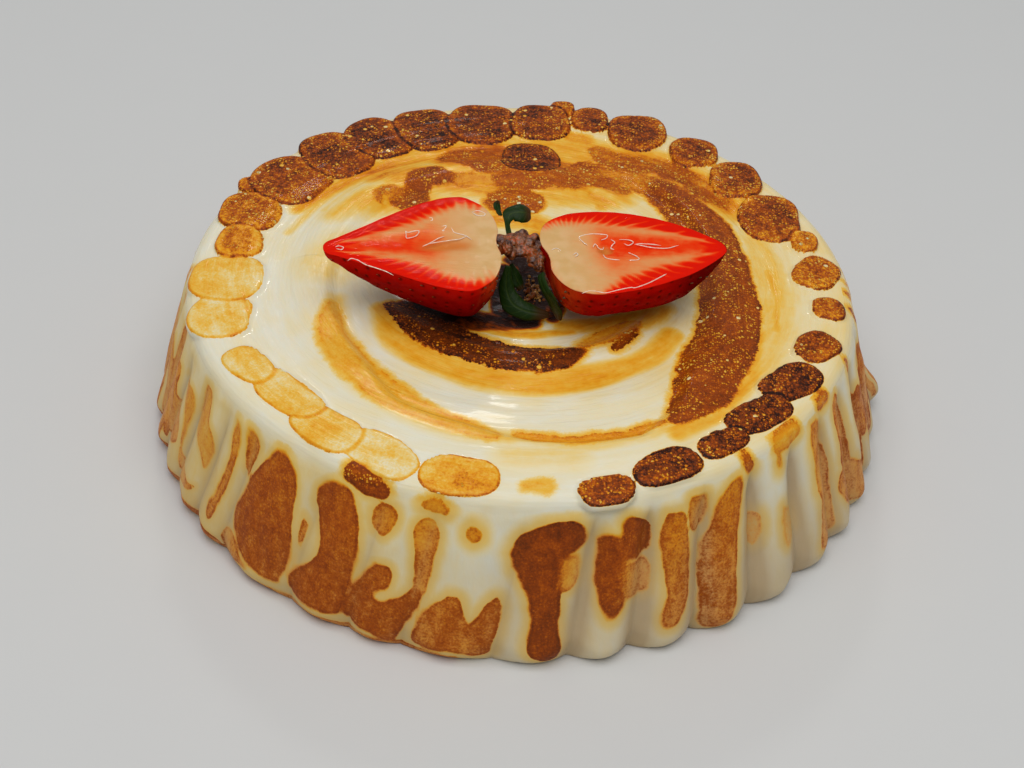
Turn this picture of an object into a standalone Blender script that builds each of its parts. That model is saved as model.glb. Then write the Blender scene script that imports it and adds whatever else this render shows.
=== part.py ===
"""Meringue cake with toasted piped edging and two strawberry halves.

The cake is one solid: a turned profile whose sides are pulled into upright
piped ribs, whose top carries the ridges left by a palette knife, and whose rim
is set with flattened pips of meringue. Two strawberry halves lie on the top,
cut face up and stem ends together, with their leaves and stem ends between.
Frame: metres, +Z up, origin on the surface the cake stands on, under its
centre, with +Y away from the shown front.
"""
import math
import random

import bmesh
import bpy
import numpy as np
from mathutils import Matrix, Vector

MM = 0.001

# Driving sizes of the cake
CAKE_HEIGHT = 0.0480
TOP_Z = 0.0465
FOOT_RADIUS = 0.1095
RIM_RADIUS = 0.0938
SIDE_CURVE = 0.9
TOP_RINGS = (0.014, 0.025, 0.033, 0.040, 0.047, 0.054, 0.061, 0.068, 0.075, 0.082, 0.088)
SHOULDER = ((0.0920, 0.0463), (0.0944, 0.0446), (0.0958, 0.0420))
SIDE_HEIGHTS = (0.0370, 0.0305, 0.0235, 0.0165, 0.0100, 0.0050, 0.0018)
STEPS_PER_RIB = 3

# Piped ribs: creases along the foot in degrees from +X, on the side that shows
SHOWN_CREASES = (
    -167, -160, -152, -144, -136.5, -122, -112, -104, -91,
    -80.3, -71.3, -61.5, -51.5, -41.5, -32, -24, -16.5, -9,
)
BACK_RIBS = 21
# Degrees that a rib leans over from foot to rim, by angle
RIB_LEAN = {-180: 4.5, -80: 4.5, -55: 2.5, -30: 0.5, 30: 0.5, 180: 4.5}
RIB_FADE = (0.0450, 0.0320)
RIB_ROUNDNESS = 0.75
# Depth of the creases by angle: deep at the right front, shallow at the left front
CREASE_DEPTH = {
    -180: 0.0020, -140: 0.0016, -130: 0.0012, -92: 0.0011,
    -80: 0.0028, -70: 0.0036, -25: 0.0032, 30: 0.0024, 180: 0.0020,
}
# How far the foot spreads past its plain radius, by angle
FOOT_SPREAD = {-180: -0.0022, -140: -0.0010, -110: 0.0, -35: 0.0, 0: -0.0005, 90: -0.0015, 180: -0.0022}
FOOT_TUCK = 0.0036
FOOT_TUCK_HEIGHT = 0.0048
# A blob of meringue squeezed out at the foot: angle, height, reach, spread
FOOT_BLOB = (3.5, 0.0065, 0.0040, 0.0055)

# Knife ridges on the top: inner edge of each ridge by angle, clockwise
OUTER_RIDGE = {
    66: 0.0610, 20: 0.0540, -11: 0.0517, -37: 0.0560, -54: 0.0690, -64: 0.0745,
    -85: 0.0720, -100: 0.0675, -116: 0.0660, -130: 0.0590, -148: 0.0550,
    -180: 0.0510, -233: 0.0500, -270: 0.0440, -300: 0.0420,
}
INNER_RIDGE = {-15: 0.0380, -35: 0.0370, -63: 0.0355, -90: 0.0340, -128: 0.0350, -165: 0.0380}
OUTER_RIDGE_HEIGHT = 0.0020
INNER_RIDGE_HEIGHT = 0.0016
RIDGE_RISE = 0.0040
RIDGE_CREST = 0.0080
RIDGE_FALL = 0.0180
RIDGE_END = 25.0

# Flattened pips round the rim, in millimetres and degrees:
# x, y, half length, half width, angle of the length, outward tilt
RIM_PIPS = (
    (-83.5, 36.0, 4.0, 4.0, 0, 0),
    (-81.3, 22.0, 9.7, 9.4, 90, 0),
    (-71.5, 40.5, 12.0, 11.5, 90, 0),
    (-60.0, 55.0, 13.5, 9.5, -58, 0),
    (-48.5, 66.5, 12.5, 8.7, -60, 0),
    (-33.5, 73.0, 13.5, 8.8, -65, 0),
    (-16.5, 78.5, 13.0, 10.5, -78, 0),
    (10.0, 92.0, 4.2, 4.2, 0, 0),
    (2.5, 82.0, 11.0, 9.0, 90, 0),
    (19.0, 85.5, 7.5, 6.2, 90, 0),
    (34.3, 79.5, 10.6, 9.7, 90, 0),
    (52.0, 69.2, 8.6, 7.9, 90, 0),
    (64.5, 54.5, 10.2, 8.3, 90, 0),
    (73.5, 34.5, 12.3, 9.5, 90, 0),
    (83.0, 23.0, 5.4, 4.2, 90, 0),
    (85.0, 7.5, 8.8, 6.8, 60, 4),
    (87.0, -9.7, 5.4, 5.0, 90, 4),
    (82.0, -27.0, 7.5, 5.8, 45, 6),
    (73.5, -43.0, 10.5, 6.3, 40, 6),
    (64.0, -57.3, 10.8, 5.5, 38, 8),
    (54.0, -69.3, 7.8, 4.2, 37, 8),
    (39.8, -79.5, 9.8, 5.2, 30, 8),
    (24.5, -89.3, 7.5, 4.8, 20, 10),
    (-12.3, -88.5, 10.2, 7.5, -5, 10),
    (-32.5, -82.0, 11.0, 7.0, -35, 8),
    (-47.5, -73.5, 11.0, 7.2, -35, 6),
    (-59.0, -60.5, 12.5, 6.8, -42, 6),
    (-70.5, -49.0, 8.5, 5.5, -45, 6),
    (-81.5, -29.0, 9.6, 9.2, 90, 4),
    (-82.5, -11.5, 11.0, 11.0, 0, 3),
    (-82.0, 6.0, 8.0, 7.0, 90, 0),
)
INNER_PIP = (0.5, 60.0, 9.5, 9.5, 0, 0)
PIP_STEPS = 14
PIP_THICKNESS = 0.0042
PIP_TAPER = 0.80
PIP_EDGE = 0.0011
PIP_TOP_Z = 0.0480
INNER_PIP_TOP_Z = 0.0474

# Strawberry halves: half width along the length from stem end to tip
LEFT_BERRY = {
    0.0: 0.0, 0.0008: 0.0090, 0.0024: 0.0150, 0.0050: 0.0190, 0.0100: 0.0224,
    0.0180: 0.0206, 0.0265: 0.0160, 0.0360: 0.0098, 0.0445: 0.0045, 0.0485: 0.0,
}
RIGHT_BERRY = {
    0.0: 0.0, 0.0008: 0.0080, 0.0026: 0.0135, 0.0060: 0.0172, 0.0130: 0.0194,
    0.0245: 0.0182, 0.0360: 0.0138, 0.0430: 0.0093, 0.0480: 0.0050, 0.0510: 0.0,
}
BERRY_STEPS = 32
BERRY_RINGS = 18
# Depth of the half against its half width, at the stem end and at the tip
BERRY_DEPTH = (0.88, 1.30)
# Stem end on the cut face, the direction from there to the tip, how far the stem
# end slants, and how far the middle bows sideways
LEFT_BERRY_PLACE = (Vector((-0.0058, -0.0145, 0.0668)), 189.0, -0.03, -0.0012)
RIGHT_BERRY_PLACE = (Vector((0.0059, -0.0180, 0.0652)), 10.8, 0.08, 0.0018)
# The hollow at the stem end, turned in with the rest: half width and depth
STEM_HOLLOW = ((0.0052, 0.0), (0.0040, 0.0014), (0.0, 0.0026))

# Leaves, in millimetres: the way the leaf faces, then x, y, z and half width
# along its middle, from where it is joined to its tip
LEAF_THICKNESS = 0.0006
LEAF_STATIONS = 10
LEAF_ACROSS = 4
LEAF_CUP = 0.30
LEAF_WAVE = 0.00025
LEAVES = {
    "leaf_back": ((0.0, -0.5, 0.85), (
        (-3.5, -6.3, 60.6, 0.5), (-4.1, -2.2, 61.1, 0.6), (-4.8, 1.6, 62.0, 0.7),
        (-4.3, 4.2, 63.1, 1.9), (-2.2, 5.0, 63.6, 2.4), (0.2, 5.6, 63.2, 2.3),
        (1.5, 6.2, 62.4, 0.8),
    )),
    "leaf_curl": ((0.6, -0.7, 0.4), (
        (-6.9, 4.5, 62.6, 0.5), (-7.5, 5.9, 63.2, 1.0), (-8.0, 7.2, 64.0, 1.1),
        (-7.7, 8.2, 65.0, 0.5),
    )),
    "leaf_front": ((0.0, -0.77, 0.64), (
        (-3.6, -17.1, 60.8, 0.6), (-4.0, -18.6, 57.6, 1.5), (-3.7, -20.2, 54.6, 2.3),
        (-2.0, -22.4, 52.0, 2.9), (1.2, -23.4, 50.6, 2.6), (4.8, -23.4, 49.8, 1.9),
        (8.2, -22.9, 49.2, 0.6),
    )),
    "leaf_inner": ((0.3, -0.75, 0.6), (
        (-3.0, -11.5, 57.5, 0.5), (-1.8, -13.0, 55.0, 1.5), (-0.7, -13.9, 53.0, 1.7),
        (0.3, -14.7, 51.2, 0.6),
    )),
    "leaf_right": ((-0.6, -0.75, 0.3), (
        (5.2, -21.6, 61.8, 0.8), (5.6, -24.0, 61.0, 1.0), (6.7, -26.8, 60.2, 1.2),
        (8.2, -27.2, 57.8, 1.2), (9.2, -26.6, 55.0, 1.3), (10.2, -25.4, 51.8, 1.4),
        (10.8, -24.9, 49.5, 0.8),
    )),
}

# Dried stem ends on the berries, in millimetres: centre, then half sizes
STEM_ENDS = {
    "stem_end_left": ((-4.3, -12.8, 63.8), (1.7, 2.6, 2.1)),
    "stem_end_right": ((4.6, -18.2, 62.4), (1.5, 2.1, 2.0)),
}

# Colours read off the real thing: base colour, roughness
MERINGUE = ((0.86, 0.76, 0.55), 0.35)
BERRY_RED = ((0.55, 0.03, 0.02), 0.25)
LEAF_GREEN = ((0.03, 0.09, 0.03), 0.45)
STEM_BROWN = ((0.20, 0.09, 0.04), 0.50)


def clear_scene():
    """Remove what the file opened with."""
    for obj in list(bpy.data.objects):
        bpy.data.objects.remove(obj, do_unlink=True)


def smoothstep(low, high, value):
    """0 at low, 1 at high, with a smooth turn between."""
    t = min(1.0, max(0.0, (value - low) / (high - low)))
    return t * t * (3.0 - 2.0 * t)


def by_angle(table, angle):
    """Read a table of value by angle, which needn't be in order."""
    angles = sorted(table)
    return float(np.interp(angle, angles, [table[a] for a in angles]))


def make_material(name, finish):
    """A Principled material from a base colour and a roughness."""
    colour, roughness = finish
    material = bpy.data.materials.new(name)
    material.use_nodes = True
    shader = material.node_tree.nodes["Principled BSDF"]
    shader.inputs["Base Color"].default_value = (*colour, 1.0)
    shader.inputs["Roughness"].default_value = roughness
    shader.inputs["Metallic"].default_value = 0.0
    return material


def add_object(name, mesh, collection, material=None):
    """Link a mesh as an object of the given collection."""
    obj = bpy.data.objects.new(name, mesh)
    collection.objects.link(obj)
    if material is not None:
        mesh.materials.append(material)
    return obj


def apply_modifiers(obj):
    """Swap the object's mesh for its evaluated one."""
    graph = bpy.context.evaluated_depsgraph_get()
    mesh = bpy.data.meshes.new_from_object(obj.evaluated_get(graph))
    obj.modifiers.clear()
    obj.data = mesh


def turned_object(name, profile, steps, collection, material):
    """Turn a profile of (radius, height), top to bottom, about Z."""
    mesh = bpy.data.meshes.new(name)
    points = [(radius, 0.0, height) for radius, height in profile]
    edges = [(i, i + 1) for i in range(len(points) - 1)]
    mesh.from_pydata(points, edges, [])
    obj = add_object(name, mesh, collection, material)
    screw = obj.modifiers.new("turn", "SCREW")
    screw.axis = "Z"
    screw.angle = 2.0 * math.pi
    screw.steps = steps
    screw.render_steps = steps
    screw.use_merge_vertices = True
    screw.merge_threshold = 0.00001
    screw.use_normal_calculate = True
    apply_modifiers(obj)
    return obj


def rib_creases():
    """Angles of all creases at the foot, in order, ending one turn after the first."""
    rng = random.Random(11)
    start = SHOWN_CREASES[-1]
    end = SHOWN_CREASES[0] + 360.0
    widths = [rng.uniform(0.8, 1.2) for _ in range(BACK_RIBS)]
    scale = (end - start) / sum(widths)
    creases = list(SHOWN_CREASES)
    for width in widths:
        creases.append(creases[-1] + width * scale)
    return creases


def side_radius(height):
    """Radius of the flared side, before its ribs."""
    return RIM_RADIUS + (FOOT_RADIUS - RIM_RADIUS) * (1.0 - height / CAKE_HEIGHT) ** SIDE_CURVE


def ridge_height(table, angle, radius, height):
    """Height of one knife ridge above the plain top."""
    first, last = max(table), min(table)
    turned = angle
    while turned > first:
        turned -= 360.0
    if turned < last:
        return 0.0
    ends = smoothstep(0.0, RIDGE_END, first - turned) * smoothstep(0.0, RIDGE_END, turned - last)
    across = radius - by_angle(table, turned)
    rise = smoothstep(0.0, RIDGE_RISE, across)
    fall = smoothstep(RIDGE_CREST, RIDGE_FALL, across)
    return height * ends * (rise - fall)


def top_height(angle, radius):
    """Height of the top with both knife ridges, fading out before the rim."""
    outer = ridge_height(OUTER_RIDGE, angle, radius, OUTER_RIDGE_HEIGHT)
    inner = ridge_height(INNER_RIDGE, angle, radius, INNER_RIDGE_HEIGHT)
    return TOP_Z + max(outer, inner) * (1.0 - smoothstep(0.082, 0.090, radius))


def cake_profile():
    """Profile of the cake from the middle of the top down to the middle of the base."""
    profile = [(0.0, TOP_Z)]
    profile += [(radius, TOP_Z) for radius in TOP_RINGS]
    profile += list(SHOULDER)
    profile += [(side_radius(height), height) for height in SIDE_HEIGHTS]
    profile += [(side_radius(0.0) - FOOT_TUCK, 0.0), (0.0, 0.0)]
    return profile


def shape_cake(mesh, creases):
    """Pull the turned cake into ribs, and press the knife ridges into its top."""
    ribs = len(creases) - 1
    step = 360.0 / (ribs * STEPS_PER_RIB)
    blob_angle, blob_height, blob_reach, blob_spread = FOOT_BLOB
    for vertex in mesh.vertices:
        radius = math.hypot(vertex.co.x, vertex.co.y)
        if radius < 0.001:
            continue
        height = vertex.co.z
        index = round(math.degrees(math.atan2(vertex.co.y, vertex.co.x)) / step)
        index %= ribs * STEPS_PER_RIB
        rib = index // STEPS_PER_RIB
        part = (index % STEPS_PER_RIB) / STEPS_PER_RIB
        foot_angle = creases[rib] + part * (creases[rib + 1] - creases[rib])
        wrapped = (foot_angle + 180.0) % 360.0 - 180.0
        angle = foot_angle + by_angle(RIB_LEAN, wrapped) * height / CAKE_HEIGHT
        if height == TOP_Z or radius <= TOP_RINGS[-1] and height > 0.5 * CAKE_HEIGHT:
            height = top_height(angle, radius)
        elif height > 0.0:
            radius += by_angle(FOOT_SPREAD, wrapped) * (1.0 - height / CAKE_HEIGHT)
            hollow = 1.0 - math.sin(math.pi * part) ** RIB_ROUNDNESS
            hollow *= by_angle(CREASE_DEPTH, wrapped)
            radius -= hollow * smoothstep(*RIB_FADE, height)
            tuck_height = FOOT_TUCK_HEIGHT * (2.0 - math.sin(math.pi * part))
            if height < tuck_height:
                radius -= FOOT_TUCK * (1.0 - height / tuck_height) ** 2
            away = math.radians(wrapped - blob_angle) * radius
            rise = height - blob_height
            radius += blob_reach * math.exp(-(away * away + rise * rise) / blob_spread ** 2)
        vertex.co.x = radius * math.cos(math.radians(angle))
        vertex.co.y = radius * math.sin(math.radians(angle))
        vertex.co.z = height


def make_pip(name, pip, top_z, collection):
    """One flattened pip: a low round slab with a softened top edge."""
    x, y, half_length, half_width, angle, tilt = pip
    mesh = bpy.data.meshes.new(name)
    bm = bmesh.new()
    bmesh.ops.create_cone(
        bm, cap_ends=True, segments=PIP_STEPS,
        radius1=PIP_TAPER * half_width * MM, radius2=half_width * MM, depth=PIP_THICKNESS)
    rim = [
        edge for edge in bm.edges
        if all(vert.co.z > 0.0 for vert in edge.verts)
    ]
    bmesh.ops.bevel(
        bm, geom=rim, offset=PIP_EDGE, segments=1, profile=0.5, affect="EDGES")
    bmesh.ops.scale(bm, vec=(half_length / half_width, 1.0, 1.0), verts=bm.verts)
    bearing = math.atan2(y, x)
    lean = Matrix.Rotation(math.radians(tilt), 4, Vector((-math.sin(bearing), math.cos(bearing), 0.0)))
    drop = math.sin(math.radians(tilt)) * half_width * MM
    place = Matrix.Translation((x * MM, y * MM, top_z - drop - 0.5 * PIP_THICKNESS))
    spin = Matrix.Rotation(math.radians(angle), 4, "Z")
    bmesh.ops.transform(bm, matrix=place @ lean @ spin, verts=bm.verts)
    bm.to_mesh(mesh)
    bm.free()
    return add_object(name, mesh, collection)


def make_cake(collection, cutters):
    """The cake: body and pips joined into one solid."""
    creases = rib_creases()
    steps = (len(creases) - 1) * STEPS_PER_RIB
    material = make_material("toasted_meringue", MERINGUE)
    cake = turned_object("meringue_cake", cake_profile(), steps, collection, material)
    shape_cake(cake.data, creases)
    for number, pip in enumerate(RIM_PIPS):
        make_pip(f"pip_{number:02d}", pip, PIP_TOP_Z, cutters)
    make_pip("pip_inner", INNER_PIP, INNER_PIP_TOP_Z, cutters)
    union = cake.modifiers.new("pips", "BOOLEAN")
    union.operation = "UNION"
    union.operand_type = "COLLECTION"
    union.collection = cutters
    union.solver = "EXACT"
    apply_modifiers(cake)
    for pip in list(cutters.objects):
        bpy.data.objects.remove(pip, do_unlink=True)
    return cake


def berry_profile(stations):
    """Profile of a whole berry, tip first, as (half width, place along the length)."""
    places = sorted(stations)
    length = places[-1]
    profile = [(0.0, length)]
    for ring in range(1, BERRY_RINGS - 1):
        place = 0.5 * length * (1.0 + math.cos(math.pi * ring / BERRY_RINGS))
        profile.append((float(np.interp(place, places, [stations[p] for p in places])), place))
    return profile + list(STEM_HOLLOW)


def make_berry(name, stations, place, collection, material):
    """Half a strawberry, cut face up: a turned berry cut along its length."""
    stem_end, bearing, slant, bow = place
    berry = turned_object(name, berry_profile(stations), BERRY_STEPS, collection, material)
    bm = bmesh.new()
    bm.from_mesh(berry.data)
    lay_down = Matrix.Rotation(math.radians(90.0), 4, "Y")
    half_step = Matrix.Rotation(math.pi / BERRY_STEPS, 4, "X")
    bmesh.ops.transform(bm, matrix=half_step @ lay_down, verts=bm.verts)
    length = max(stations)
    for vert in bm.verts:
        share = vert.co.x / length
        stem_depth, tip_depth = BERRY_DEPTH
        vert.co.z *= stem_depth + (tip_depth - stem_depth) * smoothstep(0.35, 0.95, share)
        vert.co.x -= slant * vert.co.y * (1.0 - share)
        vert.co.y += bow * math.sin(math.pi * min(1.0, max(0.0, share)))
    turn = Matrix.Translation(stem_end) @ Matrix.Rotation(math.radians(bearing), 4, "Z")
    bmesh.ops.transform(bm, matrix=turn, verts=bm.verts)
    cut = bmesh.ops.bisect_plane(
        bm, geom=bm.verts[:] + bm.edges[:] + bm.faces[:], dist=0.000001,
        plane_co=stem_end, plane_no=(0.0, 0.0, 1.0), clear_outer=True)
    edges = [item for item in cut["geom_cut"] if isinstance(item, bmesh.types.BMEdge)]
    bmesh.ops.holes_fill(bm, edges=edges, sides=0)
    bm.to_mesh(berry.data)
    bm.free()
    return berry


def along(stations, share):
    """Point and half width at a share of the way along a leaf's stations."""
    values = np.array(stations) * MM
    places = np.linspace(0.0, 1.0, len(stations))
    smooth = [float(np.interp(share, places, values[:, column])) for column in range(4)]
    return Vector(smooth[:3]), smooth[3]


def make_leaf(name, facing, stations, collection, material):
    """A thin wavy leaf: a strip along its middle line, cupped, with a thickness."""
    facing = Vector(facing).normalized()
    bm = bmesh.new()
    bmesh.ops.create_grid(
        bm, x_segments=LEAF_STATIONS, y_segments=LEAF_ACROSS, size=1.0)
    for vert in bm.verts:
        share = 0.5 * (vert.co.x + 1.0)
        across = vert.co.y
        middle, half_width = along(stations, share)
        ahead, _ = along(stations, min(1.0, share + 0.05))
        behind, _ = along(stations, max(0.0, share - 0.05))
        side = (ahead - behind).normalized().cross(facing).normalized()
        cup = LEAF_CUP * half_width * across * across
        wave = LEAF_WAVE * math.sin(9.0 * share + 2.0 * across) * abs(across)
        vert.co = middle + side * across * half_width + facing * (wave - cup)
    bmesh.ops.triangulate(bm, faces=bm.faces[:])
    mesh = bpy.data.meshes.new(name)
    bm.to_mesh(mesh)
    bm.free()
    leaf = add_object(name, mesh, collection, material)
    solid = leaf.modifiers.new("thickness", "SOLIDIFY")
    solid.thickness = LEAF_THICKNESS
    solid.offset = 0.0
    return leaf


def make_stem_end(name, centre, half_sizes, collection, material):
    """The dried brown stump where a berry's stem was."""
    bm = bmesh.new()
    bmesh.ops.create_uvsphere(bm, u_segments=12, v_segments=8, radius=MM)
    rng = random.Random(name)
    for vert in bm.verts:
        vert.co *= rng.uniform(0.88, 1.08)
    bmesh.ops.scale(bm, vec=half_sizes, verts=bm.verts)
    bmesh.ops.translate(bm, vec=[value * MM for value in centre], verts=bm.verts)
    mesh = bpy.data.meshes.new(name)
    bm.to_mesh(mesh)
    bm.free()
    return add_object(name, mesh, collection, material)


def main():
    clear_scene()
    part = bpy.data.collections.new("meringue_cake")
    cutters = bpy.data.collections.new("cutters")
    bpy.context.scene.collection.children.link(part)
    bpy.context.scene.collection.children.link(cutters)
    make_cake(part, cutters)
    red = make_material("strawberry", BERRY_RED)
    make_berry("strawberry_half_left", LEFT_BERRY, LEFT_BERRY_PLACE, part, red)
    make_berry("strawberry_half_right", RIGHT_BERRY, RIGHT_BERRY_PLACE, part, red)
    green = make_material("leaf", LEAF_GREEN)
    for name, (facing, stations) in LEAVES.items():
        make_leaf(name, facing, stations, part, green)
    brown = make_material("stem_end", STEM_BROWN)
    for name, (centre, half_sizes) in STEM_ENDS.items():
        make_stem_end(name, centre, half_sizes, part, brown)


main()
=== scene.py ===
"""Looks of the meringue cake: toasted coat with pips, strawberry halves, leaves and stem ends.

Laid out as an add-on with a panel in the 3D view's sidebar, and run as a script. All places
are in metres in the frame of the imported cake: +Z up, origin under the middle of its foot,
+Y away from the shown front. Tables of marks on the cake are in millimetres and degrees.
"""

import math
import random

import bmesh
import bpy
import numpy as np
from bpy.props import FloatProperty, FloatVectorProperty, IntProperty, PointerProperty
from mathutils import Matrix, Vector, noise


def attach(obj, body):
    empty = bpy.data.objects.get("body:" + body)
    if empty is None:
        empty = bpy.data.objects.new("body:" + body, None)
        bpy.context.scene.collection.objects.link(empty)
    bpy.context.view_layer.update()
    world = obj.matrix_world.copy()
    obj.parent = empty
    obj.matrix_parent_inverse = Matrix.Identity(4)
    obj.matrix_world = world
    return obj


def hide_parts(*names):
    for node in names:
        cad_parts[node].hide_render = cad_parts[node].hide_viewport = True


bl_info = {
    "name": "Meringue cake",
    "version": (1, 0, 0),
    "blender": (4, 5, 0),
    "location": "3D View > Sidebar > Meringue cake",
    "description": "Toasted meringue coat, strawberry halves, leaves and stage of a meringue cake",
    "category": "Add Mesh",
}

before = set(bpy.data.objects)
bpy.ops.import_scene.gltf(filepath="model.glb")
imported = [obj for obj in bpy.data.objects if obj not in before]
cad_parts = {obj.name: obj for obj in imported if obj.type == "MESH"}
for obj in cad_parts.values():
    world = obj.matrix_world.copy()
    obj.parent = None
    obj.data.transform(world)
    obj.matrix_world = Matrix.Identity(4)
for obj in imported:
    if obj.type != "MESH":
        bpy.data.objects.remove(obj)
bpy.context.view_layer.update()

MM = 0.001

# Turned form of the cake, in metres
CAKE_HEIGHT = 0.0480
TOP_Z = 0.0465
FOOT_RADIUS = 0.1095
RIM_RADIUS = 0.0938
SIDE_CURVE = 0.9
FOOT_TUCK = 0.0036
FOOT_TUCK_HEIGHT = 0.0048
# Blob at the foot: its angle in degrees, then height, reach and spread in metres
FOOT_BLOB = (3.5, 0.0065, 0.0040, 0.0055)

# Piped ribs: creases along the foot, in degrees from +X
SHOWN_CREASES = (
    -167, -160, -152, -144, -136.5, -122, -112, -104, -91,
    -80.3, -71.3, -61.5, -51.5, -41.5, -32, -24, -16.5, -9,
)
BACK_RIBS = 21
RIB_LEAN = {-180: 4.5, -80: 4.5, -55: 2.5, -30: 0.5, 30: 0.5, 180: 4.5}
RIB_FADE = (0.0450, 0.0320)
RIB_ROUNDNESS = 0.75
CREASE_DEPTH = {
    -180: 0.0020, -140: 0.0016, -130: 0.0012, -92: 0.0011,
    -80: 0.0028, -70: 0.0036, -25: 0.0032, 30: 0.0024, 180: 0.0020,
}
FOOT_SPREAD = {-180: -0.0022, -140: -0.0010, -110: 0.0, -35: 0.0, 0: -0.0005, 90: -0.0015, 180: -0.0022}

# Knife ridges on the top: inner edge of each by angle, clockwise
OUTER_RIDGE = {
    66: 0.0610, 20: 0.0540, -11: 0.0517, -37: 0.0560, -54: 0.0690, -64: 0.0745,
    -85: 0.0720, -100: 0.0675, -116: 0.0660, -130: 0.0590, -148: 0.0550,
    -180: 0.0510, -233: 0.0500, -270: 0.0440, -300: 0.0420,
}
INNER_RIDGE = {-15: 0.0380, -35: 0.0370, -63: 0.0355, -90: 0.0340, -128: 0.0350, -165: 0.0380}
OUTER_RIDGE_HEIGHT = 0.0020
INNER_RIDGE_HEIGHT = 0.0016
RIDGE_RISE = 0.0040
RIDGE_CREST = 0.0080
RIDGE_FALL = 0.0180
RIDGE_END = 25.0

# Flattened pips: x, y, half length, half width, angle of the length, outward tilt, toast
PIPS = (
    (-83.5, 36.0, 4.0, 4.0, 0, 0, 0.62),
    (-81.3, 22.0, 9.7, 9.4, 90, 0, 0.62),
    (-72.0, 40.3, 12.4, 12.0, 60, 0, 0.73),
    (-60.0, 55.5, 13.2, 10.4, -52, 0, 0.76),
    (-48.0, 67.0, 12.0, 9.8, -50, 0, 0.80),
    (-33.0, 74.0, 12.2, 10.2, -66, 0, 0.78),
    (-15.8, 79.0, 12.0, 11.2, 90, 0, 0.76),
    (10.0, 92.0, 4.2, 4.2, 0, 0, 0.68),
    (3.0, 82.0, 10.8, 9.8, 90, 0, 0.78),
    (19.0, 85.5, 7.5, 6.2, 90, 0, 0.72),
    (34.3, 79.5, 10.6, 9.7, 90, 0, 0.72),
    (52.0, 69.2, 8.6, 7.9, 90, 0, 0.72),
    (64.5, 54.5, 10.2, 8.3, 90, 0, 0.70),
    (73.5, 34.5, 12.3, 9.5, 90, 0, 0.68),
    (83.0, 23.0, 5.4, 4.2, 90, 0, 0.60),
    (85.0, 7.5, 8.8, 6.8, 60, 4, 0.70),
    (87.0, -9.7, 5.4, 5.0, 90, 4, 0.70),
    (82.0, -27.0, 7.5, 5.8, 45, 6, 0.78),
    (73.5, -43.0, 10.5, 6.3, 40, 6, 0.93),
    (64.0, -57.3, 10.8, 5.5, 38, 8, 0.94),
    (54.0, -69.3, 7.8, 4.2, 37, 8, 0.88),
    (39.8, -79.5, 9.8, 5.2, 30, 8, 0.92),
    (24.5, -89.3, 7.5, 4.8, 20, 10, 0.80),
    (-12.3, -87.2, 10.4, 6.3, -5, 10, 0.50),
    (-32.2, -80.8, 11.0, 6.2, -35, 8, 0.34),
    (-46.8, -72.6, 10.6, 6.6, -35, 6, 0.38),
    (-58.4, -60.0, 12.0, 6.2, -42, 6, 0.38),
    (-70.5, -49.0, 8.5, 5.5, -45, 6, 0.36),
    (-81.5, -29.0, 9.6, 9.2, 90, 4, 0.34),
    (-82.5, -11.5, 11.0, 11.0, 0, 3, 0.38),
    (-82.0, 6.0, 8.0, 7.0, 90, 0, 0.54),
    (0.5, 60.0, 9.5, 9.5, 0, 0, 0.84),
)
PIP_THICKNESS = 2.6
PIP_PAINT = 1.6
PIP_SQUARENESS = 2.6
PIP_TOP = 48.0
INNER_PIP_TOP = 47.4

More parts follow.
